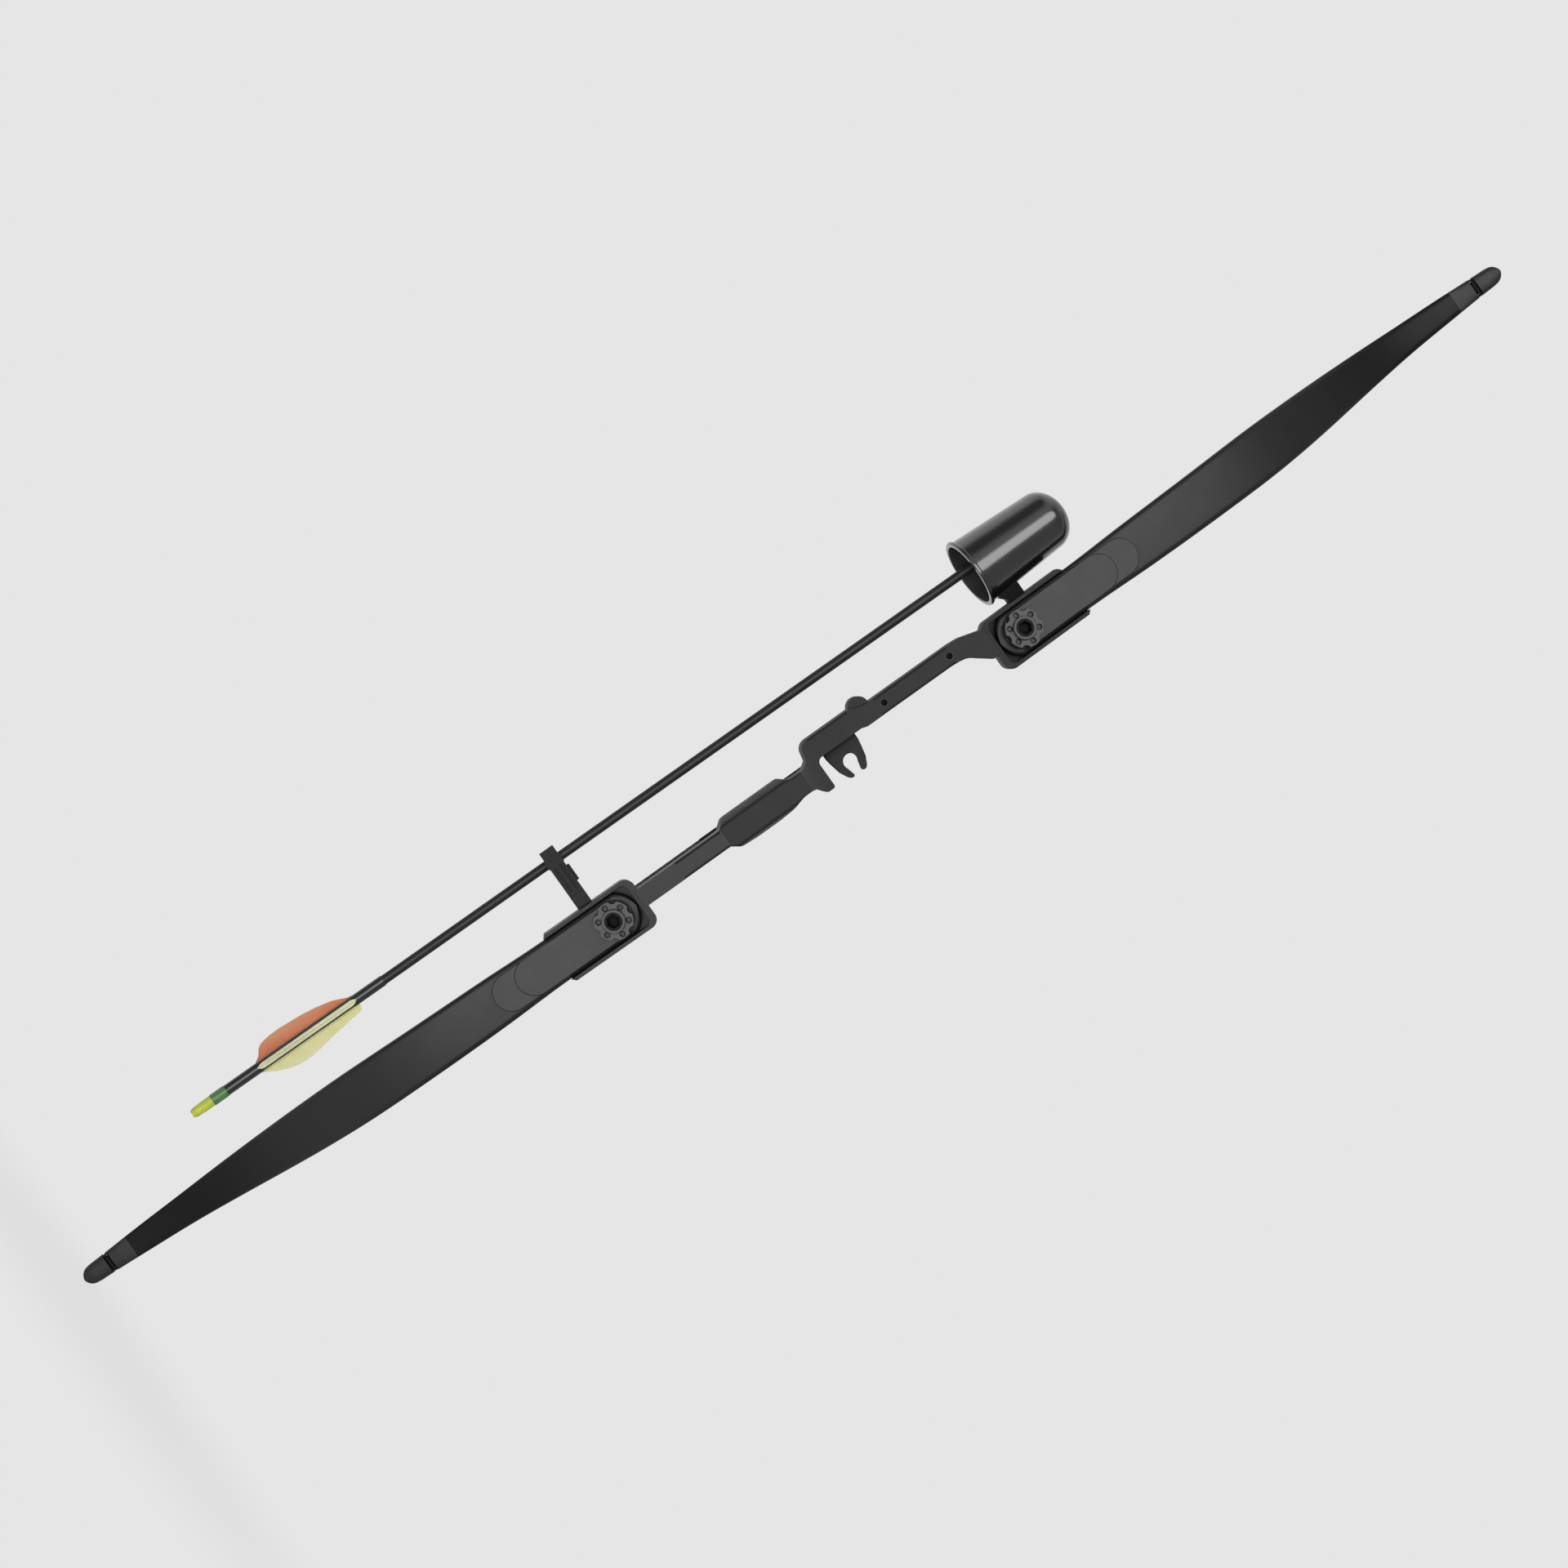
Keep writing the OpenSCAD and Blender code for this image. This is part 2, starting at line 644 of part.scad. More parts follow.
module rest_fork() {
    half = fork_half();
    color("#161616")
    translate([0, 0, rest_z]) slab(rest_y - rest_depth / 2, rest_y + rest_depth / 2)
        polygon(concat(half, [[rest_mid_x - rest_r, 0]],
            [for (i = [len(half) - 1:-1:0]) [half[i][0], -half[i][1]]]));
}

module rest_pad() {
    color("#101010")
    translate([-window_cut - recess, rest_y - rest_depth / 2, rest_z - rest_half])
        cube([pad_t, rest_depth, 2 * rest_half]);
}

// Arrow: its own frame has the nock's end at the origin and z along the shaft

arrow_x = -56;
arrow_y = -5;
// The point's tip stands in the hood's foam, so a longer arrow reaches further down
point_tip = bow_mid + bolt_reach + 54;
arrow_z = point_tip - arrow_l;
arrow_tilt = 0.38;
nock_l = 16;
crest_l = 11;
wrap_l = 125;
vane_at = 53;
point_l = 20;
shaft_bore = 2.5;
module at_arrow() {
    translate([arrow_x, arrow_y, arrow_z]) rotate([0, arrow_tilt, 0]) children();
}
// Height of the shaft's bore taken up by the nock's and the point's shanks
shank_l = 12;

module arrow_shaft() {
    color("#1a1a1c")
    at_arrow() translate([0, 0, nock_l]) difference() {
        cylinder(r = shaft_r, h = arrow_l - nock_l - point_l);
        translate([0, 0, -over]) cylinder(r = shaft_bore, h = arrow_l);
    }
}
module arrow_wrap() {
    color("#151517")
    at_arrow() translate([0, 0, nock_l + crest_l]) difference() {
        cylinder(r = wrap_r, h = wrap_l);
        translate([0, 0, -over]) cylinder(r = shaft_r, h = wrap_l + 2 * over);
    }
}
module arrow_crest() {
    color("darkgreen")
    at_arrow() translate([0, 0, nock_l]) difference() {
        cylinder(r = wrap_r + 0.3, h = crest_l);
        translate([0, 0, -over]) cylinder(r = shaft_r, h = crest_l + 2 * over);
    }
}
module arrow_nock() {
    slot_w = 2.9;
    slot_l = 8;
    color("greenyellow")
    at_arrow() difference() {
        union() {
            translate([0, 0, nock_l]) cylinder(r = shaft_bore, h = shank_l);
            translate([0, 0, 3]) cylinder(r = wrap_r, h = nock_l - 3);
            cylinder(r1 = wrap_r - 0.8, r2 = wrap_r, h = 3);
        }
        translate([-10, -slot_w / 2, -over]) cube([20, slot_w, slot_l - slot_w / 2 + over]);
        translate([0, 0, slot_l - slot_w / 2]) bar_x(slot_w / 2, -10, 10);
    }
}
module arrow_point() {
    color("silver")
    at_arrow() translate([0, 0, arrow_l - point_l]) {
        translate([0, 0, -shank_l]) cylinder(r = shaft_bore, h = shank_l);
        cylinder(r = shaft_r, h = point_l - 10);
        translate([0, 0, point_l - 10]) cylinder(r1 = shaft_r, r2 = 0.4, h = 10);
    }
}

// Vane: a thin blade on a wider foot, standing out at an angle round the shaft
vane_turn = 26;
module vane(turn) {
    blade_t = 1;
    foot_a = 37;
    foot_r = wrap_r + 0.7;
    foot_l = vane_l + 3;
    foot_w = 2 * foot_r * tan(foot_a);
    at_arrow() translate([0, 0, vane_at]) rotate([0, 0, turn]) difference() {
        union() {
            rotate([90, 0, 0]) translate([0, 0, -blade_t / 2]) linear_extrude(blade_t)
                polygon([[wrap_r - 0.4, 0], [wrap_r + 0.5, 0], [wrap_r + vane_h * 0.55, 4.5],
                    [wrap_r + vane_h * 0.88, 9], [wrap_r + vane_h * 0.99, 15], [wrap_r + vane_h, 21],
                    [wrap_r + vane_h * 0.96, vane_l * 0.45], [wrap_r + vane_h * 0.83, vane_l * 0.65],
                    [wrap_r + vane_h * 0.61, vane_l * 0.82], [wrap_r + vane_h * 0.3, vane_l * 0.95],
                    [wrap_r + 0.5, vane_l], [wrap_r - 0.4, vane_l]]);
            intersection() {
                translate([0, 0, (vane_l - foot_l) / 2]) cylinder(r = foot_r, h = foot_l);
                linear_extrude(2 * foot_l, center = true)
                    polygon([[0, 0], [2 * foot_r, -foot_w], [2 * foot_r, foot_w]]);
            }
        }
        translate([0, 0, -10]) cylinder(r = wrap_r, h = vane_l + 20);
    }
}
module vane_orange() {
    color("orangered") vane(vane_turn + 120);
}
module vane_yellow_side() {
    color("khaki") vane(vane_turn);
}
module vane_yellow_front() {
    color("khaki") vane(vane_turn + 240);
}

// Quiver hood: its own frame has the mouth's centre at the origin and z up the hood

hood_x = -48.8;
hood_y = -8;
hood_z = bow_mid + bolt_reach - 6.6;
lip_h = 3;
lip_out = 1.2;
module at_hood() {
    translate([hood_x, hood_y, hood_z]) rotate([-hood_lean, 0, 0]) children();
}
function hood_profile(inset) = concat(
    [for (a = [0:7.5:82.5]) [(hood_top_r - inset) * cos(a), hood_l + (dome_h - inset) * sin(a)]],
    [[0, hood_l + dome_h - inset]]);

module hood_hollow() {
    rotate_extrude() polygon(concat([[0, -over], [hood_r - hood_wall + 0.1, -over]], hood_profile(hood_wall)));
}
module hood_shell() {
    difference() {
        rotate_extrude() union() {
            polygon(concat([[0, 0], [hood_r, 0]], hood_profile(0)));
            square([hood_r + lip_out - lip_h / 2, lip_h]);
            translate([hood_r + lip_out - lip_h / 2, lip_h / 2]) circle(lip_h / 2);
        }
        hood_hollow();
    }
}

// Frame of the hood's bracket: level with the bracket holes in the upper pocket
bracket_h = 12.4;
bracket_flare = 3;
bracket_w = 17;
bracket_y = -5.8;
bracket_mid = bolt_reach + bracket_z + 0.8;
hood_screw_dy = 4.5;
bracket_stud_l = 3;
hood_screw_end = -pocket_w / 2 - bracket_stud_l - 0.4;
hood_head_r = 2.6;
hood_head_x = -hood_r - 7.6;
hood_head_t = 2.2;
module at_bracket() {
    upper() translate([0, bracket_y, bracket_mid]) children();
}
module hood_screw_bars(r, x0, x1) {
    at_bracket()
        for (side = [-1, 1]) translate([0, side * hood_screw_dy, -side * 3.4]) bar_x(r, x0, x1);
}

module hood() {
    color("#0d0d0f") difference() {
        at_hood() hood_shell();
        hood_screw_bars(screw_r, -40, -20);
    }
}

module hood_liner() {
    top = hood_l + 4;
    low = hood_l - 16;
    inner = hood_wall + 0.2;
    seat = arrow_l - 8;
    bore_from = seat - 72;
    wall_at = hood_r + (hood_top_r - hood_r) * low / hood_l - inner;
    color("#2a2a2c") difference() {
        at_hood() rotate_extrude() intersection() {
            polygon([[0, low], [wall_at, low], [hood_top_r - inner, hood_l], [hood_top_r - inner - 0.6, top],
                [0, top]]);
            square([60, 200]);
        }
        at_arrow() translate([0, 0, bore_from]) cylinder(r = shaft_r + gap, h = seat - bore_from);
        at_arrow() translate([0, 0, seat - fit]) cylinder(r1 = shaft_r + gap, r2 = 0.8, h = 10);
    }
}

module hood_bracket() {
    color("#141416") difference() {
        at_bracket() slab(-bracket_w / 2, bracket_w / 2)
            polygon([[-hood_r - 15, bracket_h / 2], [-hood_r - 15, -bracket_h / 2 - bracket_flare],
                [-pocket_w / 2 - 2 * bracket_flare, -bracket_h / 2 - bracket_flare],
                [-pocket_w / 2 - bracket_flare, -bracket_h / 2], [-pocket_w / 2, -bracket_h / 2],
                [-pocket_w / 2, bracket_h / 2]]);
        at_hood() translate([0, 0, -2]) cylinder(r1 = hood_r + (hood_r - hood_top_r) * 2 / hood_l,
            r2 = hood_top_r, h = hood_l + 2);
        hood_screw_bars(screw_r, -30, hood_screw_end + 0.2);
        upper() at_pocket() translate([0, 0, bracket_z])
            for (y = bracket_ys)
                translate([0, y, 0]) bar_x(screw_r, -30, 0);
    }
}

module hood_screws() {
    color("black") {
        difference() {
            intersection() {
                hood_screw_bars(hood_head_r, hood_head_x, -hood_r);
                at_hood() hood_hollow();
            }
            hood_screw_bars(1, hood_head_x - over, hood_head_x + 1.2);
            hood_screw_bars(screw_r, hood_head_x + hood_head_t, 0);
        }
        hood_screw_bars(screw_r, hood_head_x + hood_head_t, hood_screw_end);
    }
}

module bracket_screws() {
    color("black")
    upper() at_pocket() translate([0, 0, bracket_z])
        for (y = bracket_ys)
            translate([0, y, 0]) bar_x(screw_r, -pocket_w / 2 - bracket_stud_l, side_screw_l - pocket_w / 2);
}

// Gripper: base on the lower pocket, arm behind a joint line, lined clip for the shaft

arm_front = -13;
arm_rear = -3;
base_rear = 1;
base_out = 9.4;
arm_x = -pocket_w / 2 - base_out;
arm_end = -63;
clip_z = -(bolt_reach + bracket_z + 0.4);
clip_x = arrow_x + tan(arrow_tilt) * (bow_mid + clip_z - arrow_z);
lining_t = 1.1;
clip_r = shaft_r + gap;
tongue_y = -10;
tongue_t = 4;
tongue_l = 7.4;
pivot_x = arm_x + 4;
pivot_r = 2;
pivot_head_r = 3.6;
pivot_head_t = 1.6;
module at_gripper() {
    translate([0, 0, bow_mid + clip_z]) children();
}

module gripper_base() {
    color("#1d1d1f") difference() {
        at_gripper() translate([arm_x, arm_front, -arm_h / 2])
            cube([base_out, base_rear - arm_front, arm_h]);
        at_gripper() translate([arm_x - over, tongue_y, -arm_h / 2 - over])
            cube([tongue_l + over, tongue_t, arm_h + 2 * over]);
        at_gripper() translate([pivot_x, 0, 0]) bar_y(pivot_r, arm_front + 1.5, base_rear + over);
        at_gripper() translate([pivot_x, 0, 0]) bar_y(pivot_head_r, base_rear - pivot_head_t, base_rear + over);
        lower() at_pocket() translate([0, 0, bracket_z])
            for (y = bracket_ys)
                translate([0, y, 0]) bar_x(screw_r, -30, 0);
    }
}

module gripper_arm() {
    rib_t = 0.8;
    color("#1d1d1f") difference() {
        union() {
            at_gripper() translate([arm_end, arm_front, -arm_h / 2])
                cube([arm_x - fit - arm_end, arm_rear - arm_front, arm_h]);
            at_gripper() translate([arm_x - over, tongue_y + fit, -arm_h / 2])
                cube([tongue_l + over - fit, tongue_t - 2 * fit, arm_h]);
            at_gripper() translate([-47, -11, arm_h / 2 - over]) cube([12, 6, over + 1.8]);
            at_gripper() translate([clip_x - 3.2, arm_front, -arm_h / 2 - 0.8])
                cube([6.8, arm_rear - arm_front, arm_h + 1.4]);
            for (z = [-arm_h / 2 + 2.4, arm_h / 2 - 3.4])
                at_gripper() translate([-50, arm_front - rib_t, z]) cube([19, rib_t + over, 1]);
        }
        at_gripper() translate([clip_x, arrow_y, -20]) cylinder(r = clip_r + lining_t, h = 40);
        at_gripper() translate([clip_x - clip_r - 0.3, arrow_y, -20]) cube([2 * clip_r + 0.6, 10, 40]);
        at_gripper() translate([pivot_x, 0, 0]) bar_y(pivot_r, -20, 5);
    }
}

module gripper_lining() {
    mouth = 2.7;
    color("#0f0f10") difference() {
        at_gripper() translate([clip_x, arrow_y, -arm_h / 2]) cylinder(r = clip_r + lining_t, h = arm_h);
        at_gripper() translate([clip_x, arrow_y, -20]) cylinder(r = clip_r, h = 40);
        at_gripper() translate([clip_x - mouth, arrow_y, -20]) cube([2 * mouth, 10, 40]);
        at_gripper() translate([clip_x - 10, arm_rear, -20]) cube([20, 10, 40]);
    }
}

module gripper_screw() {
    color("black") at_gripper() translate([pivot_x, 0, 0]) difference() {
        union() {
            bar_y(pivot_r - fit, arm_front + 2, base_rear - pivot_head_t);
            bar_y(pivot_head_r - 0.1, base_rear - pivot_head_t, base_rear);
        }
        rotate([0, 25, 0]) translate([-5, base_rear - 0.9, -0.5]) cube([10, over + 0.9, 1]);
    }
}

module base_screws() {
    color("black")
    lower() at_pocket() translate([0, 0, bracket_z])
        for (y = bracket_ys)
            translate([0, y, 0]) bar_x(screw_r, -pocket_w / 2 - 1.6, side_screw_l - pocket_w / 2);
}

// Bowstring: straight between the nocks, with a served loop in each nock

nock_point = limb_point(0, 0, nock_reach);
string_y = nock_point[1] + tip_t + string_r + 0.2;
loop_r = string_r - 0.1;
loop_l = 56;
loop_serving_l = 14;
loop_serving_r = 2.5;
loop_base = nock_point[2] - loop_l;
string_end = loop_base - loop_serving_l;

module bowstring() {
    color("#2b2b2d")
    translate([0, string_y, bow_mid - string_end]) cylinder(r = string_r, h = 2 * string_end, $fn = 32);
}

module center_serving() {
    color("#1a1a1c")
    translate([0, string_y, 4 - serving_l / 2]) difference() {
        cylinder(r = serving_r, h = serving_l, $fn = 32);
        translate([0, 0, -over]) cylinder(r = string_r, h = serving_l + 2 * over, $fn = 32);
    }
}

// Half of the loop's route from the serving to the middle of the limb's back
loop_half = [
    [loop_r + 0.05, string_y, loop_base],
    [loop_r + 0.4, string_y, loop_base + 6],
    [loop_r + 2, string_y, loop_base + 22],
    [groove_x - 1.2, string_y - 0.1, loop_base + 42],
    [groove_x - 0.2, string_y - 0.1, nock_point[2] - 6],
    [groove_x, string_y, nock_point[2] - 2.6],
    [groove_x, string_y - 0.3, nock_point[2] - 0.9],
    [groove_x, string_y - 1.3, nock_point[2] - 0.2],
    [groove_x, string_y - 2.8, nock_point[2] - 0.1],
    [groove_x, nock_point[1] + 0.9, nock_point[2]],
    [groove_x - 0.4, nock_point[1] - 0.6, nock_point[2]],
    [groove_x - 1.6, nock_point[1] - 1.5, nock_point[2]],
    [groove_x - 3.6, nock_point[1] - 1.75, nock_point[2]],
    [0, nock_point[1] - 1.8, nock_point[2]]];
loop_route = concat(loop_half,
    [for (i = [len(loop_half) - 2:-1:0]) [-loop_half[i][0], loop_half[i][1], loop_half[i][2]]]);

module upper_string_loop() {
    color("#1a1a1c") upper() tube(loop_route, loop_r);
}
module lower_string_loop() {
    color("#1a1a1c") lower() tube(loop_route, loop_r);
}
module loop_serving_body() {
    translate([0, string_y, string_end]) cylinder(r = loop_serving_r, h = loop_serving_l, $fn = 32);
}
module upper_loop_serving() {
    color("#1a1a1c") upper() loop_serving_body();
}
module lower_loop_serving() {
    color("#1a1a1c") lower() loop_serving_body();
}

riser();
grip();
sight_bushings();
limb_inserts();
limb_pins();
upper_limb();
upper_long_overlay();
upper_short_overlay();
upper_tip();
upper_limb_knob();
upper_limb_bolt();
upper_limb_washer();
lower_limb();
lower_long_overlay();
lower_short_overlay();
lower_tip();
lower_limb_knob();
lower_limb_bolt();
lower_limb_washer();
rest_fork();
rest_pad();
hood();
hood_liner();
hood_bracket();
hood_screws();
bracket_screws();
gripper_base();
gripper_arm();
gripper_lining();
gripper_screw();
base_screws();
arrow_shaft();
arrow_wrap();
arrow_crest();
arrow_nock();
arrow_point();
vane_orange();
vane_yellow_side();
vane_yellow_front();
bowstring();
center_serving();
upper_string_loop();
lower_string_loop();
upper_loop_serving();
lower_loop_serving();
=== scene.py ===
"""Looks of a strung take-down recurve bow with its bow quiver and one arrow."""

import logging
import math
from collections.abc import Callable, Iterable, Sequence
from dataclasses import dataclass, field
from enum import Enum
from functools import cached_property

import bmesh
import bpy
from mathutils import Matrix, Vector


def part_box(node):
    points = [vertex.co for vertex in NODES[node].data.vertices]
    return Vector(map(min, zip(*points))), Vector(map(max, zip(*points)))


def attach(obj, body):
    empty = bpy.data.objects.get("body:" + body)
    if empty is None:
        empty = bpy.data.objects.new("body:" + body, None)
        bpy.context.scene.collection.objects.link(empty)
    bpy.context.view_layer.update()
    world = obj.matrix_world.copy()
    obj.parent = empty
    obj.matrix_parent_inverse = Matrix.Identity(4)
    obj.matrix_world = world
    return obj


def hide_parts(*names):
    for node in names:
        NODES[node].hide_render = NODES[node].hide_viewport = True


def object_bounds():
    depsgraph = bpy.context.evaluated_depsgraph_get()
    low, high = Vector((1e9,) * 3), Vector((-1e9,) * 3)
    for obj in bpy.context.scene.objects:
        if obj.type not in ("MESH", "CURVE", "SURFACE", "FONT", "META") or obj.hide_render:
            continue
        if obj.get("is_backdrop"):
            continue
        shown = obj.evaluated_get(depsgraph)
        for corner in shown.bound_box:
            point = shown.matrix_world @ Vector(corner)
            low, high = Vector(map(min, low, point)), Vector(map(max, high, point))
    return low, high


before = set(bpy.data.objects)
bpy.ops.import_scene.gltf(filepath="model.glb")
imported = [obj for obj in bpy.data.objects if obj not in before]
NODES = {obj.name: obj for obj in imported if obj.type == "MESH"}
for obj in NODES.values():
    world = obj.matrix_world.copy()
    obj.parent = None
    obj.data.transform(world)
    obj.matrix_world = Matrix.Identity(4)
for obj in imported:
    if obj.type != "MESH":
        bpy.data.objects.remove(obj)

log = logging.getLogger("recurve_bow")

HALVES = ("upper", "lower")

MM = 0.001
# Height of the bow's middle over the frame's origin, in millimetres
BOW_MIDDLE = 11.0
# Points closer than this are one point, in metres
MERGED = 1e-6
# Edges flatter than this are shaded smooth, in degrees
SMOOTH_UNDER = 40.0
# Number of sides of a round plate or floor, and of a bore
ROUND_SIDES = 96
BORE_SIDES = 48
# Stands what lies in x and y up in x and z
UPRIGHT = Matrix.Rotation(math.radians(90), 3, "X")

Colour = tuple[float, float, float]
Place = tuple[float, float, float]
Point = tuple[float, float]
Rows = tuple[Point, ...]
Shape = bmesh.types.BMesh
Piece = bpy.types.Object


class Wire:
    """An output socket of a shader node that takes part in plain arithmetic."""

    def __init__(self, bench: "Bench", socket: bpy.types.NodeSocket | None) -> None:
        """Keep the socket, None for a node without one, and the bench that its node stands on."""
        self.bench = bench
        self.socket = socket

    def _math(self, operation: str, first: "Wire | float", second: "Wire | float") -> "Wire":
        """Return the result of a Math node on two values."""
        return self.bench.node("ShaderNodeMath", {"operation": operation}, {0: first, 1: second})

    def __add__(self, other: "Wire | float") -> "Wire":
        """Return this value plus another."""
        return self._math("ADD", self, other)

    def __radd__(self, other: float) -> "Wire":
        """Return a number plus this value."""
        return self._math("ADD", other, self)

    def __sub__(self, other: "Wire | float") -> "Wire":
        """Return this value less another."""
        return self._math("SUBTRACT", self, other)

    def __rsub__(self, other: float) -> "Wire":
        """Return a number less this value."""
        return self._math("SUBTRACT", other, self)

    def __mul__(self, other: "Wire | float") -> "Wire":
        """Return this value times another."""
        return self._math("MULTIPLY", self, other)

    def __rmul__(self, other: float) -> "Wire":
        """Return a number times this value."""
        return self._math("MULTIPLY", other, self)

    def __abs__(self) -> "Wire":
        """Return this value without its sign."""
        return self._math("ABSOLUTE", self, 0.0)

    def step(self, low: float, high: float) -> "Wire":
        """Return a smooth step of this value, from 0 at the low bound to 1 at the high one."""
        sockets = {"Value": self, "From Min": low, "From Max": high}
        return self.bench.node("ShaderNodeMapRange", {"interpolation_type": "SMOOTHSTEP"}, sockets)


class Bench:
    """A node tree, and the one method that puts nodes on it."""

    # Numbers of the Mix node's sockets for colours
    MIX_SHARE = 0
    MIX_LOW = 6
    MIX_HIGH = 7
    MIX_OUT = 2

    def __init__(self, tree: bpy.types.NodeTree) -> None:
        """Keep the node tree of a material or of the world, and clear it."""
        self.tree = tree
        self.tree.nodes.clear()

    def node(self, kind: str, settings: dict[str, object] | None = None,
             sockets: dict[int | str, object] | None = None, out: int | str = 0) -> Wire:
        """Make a node, set it up and feed its sockets.

        Args:
            kind: The node's type name.
            settings: Its settings.
            sockets: Values or wires for its input sockets, by name or number.
            out: The output socket to return.

        Returns:
            The chosen output.
        """
        made = self.tree.nodes.new(kind)
        for key, value in (settings or {}).items():
            setattr(made, key, value)
        for key, value in (sockets or {}).items():
            if isinstance(value, Wire):
                self.tree.links.new(value.socket, made.inputs[key])
            else:
                made.inputs[key].default_value = value
        return Wire(self, made.outputs[out] if len(made.outputs) else None)

    def place(self) -> Wire:
        """Return the point's Object coordinates, in metres."""
        return self.node("ShaderNodeTexCoord", out="Object")

    def scaled(self, scale: Sequence[float], turn: Sequence[float] = (0, 0, 0)) -> Wire:
        """Return the Object coordinates, scaled and turned, with the turn in radians."""
        sockets = {"Vector": self.place(), "Scale": tuple(scale), "Rotation": tuple(turn)}
        return self.node("ShaderNodeMapping", {}, sockets)

    def parts(self, vector: Wire) -> list[Wire]:
        """Return a vector's x, y and z."""
        split = self.node("ShaderNodeSeparateXYZ", {}, {0: vector})
        return [Wire(self, output) for output in split.socket.node.outputs]

    def vector(self, operation: str, *values: object, out: str = "Vector") -> Wire:
        """Return the result of a Vector Math node, from its output Value where it is a number."""
        sockets = dict(enumerate(values))
        return self.node("ShaderNodeVectorMath", {"operation": operation}, sockets, out=out)

    def noise(self, vector: Wire, scale: float, detail: float = 3.0, rough: float = 0.55) -> Wire:
        """Return noise from 0 to 1, with its scale in waves per unit and its detail in octaves."""
        sockets = {"Vector": vector, "Scale": scale, "Detail": detail, "Roughness": rough}
        return self.node("ShaderNodeTexNoise", {}, sockets)

    def blend(self, share: Wire | float, low: object, high: object) -> Wire:
        """Mix two colours.

        Args:
            share: The share of the second colour, from 0 to 1.
            low: The first colour.
            high: The second colour.

        Returns:
            The mixed colour.
        """
        first, second = (c if isinstance(c, Wire) else (*c, 1.0) for c in (low, high))
        sockets = {self.MIX_SHARE: share, self.MIX_LOW: first, self.MIX_HIGH: second}
        return self.node("ShaderNodeMix", {"data_type": "RGBA"}, sockets, out=self.MIX_OUT)

    def matt(self, colour: Sequence[float]) -> Wire:
        """Return a plain matt shader."""
        return self.node("ShaderNodeBsdfDiffuse", {}, {"Color": (*colour, 1.0)})

    def laid(self, share: Wire, under: Wire, over: Wire) -> Wire:
        """Return one shader laid over another by a share from 0 to 1."""
        return self.node("ShaderNodeMixShader", {}, {0: share, 1: under, 2: over})


class Grain(Enum):
    """The fine relief of a surface."""

    SPECKLE = "fine speckle of paint or moulded plastic"
    FIBRE = "fibres that run up the bow"
    WOUND = "thread wound round a line that runs up the bow"
    TWIST = "strands twisted round the string's own line"
    FOAM = "open cells"
    POLISH = "polished, with a faint waviness"
    TURNED = "rings left by turning"


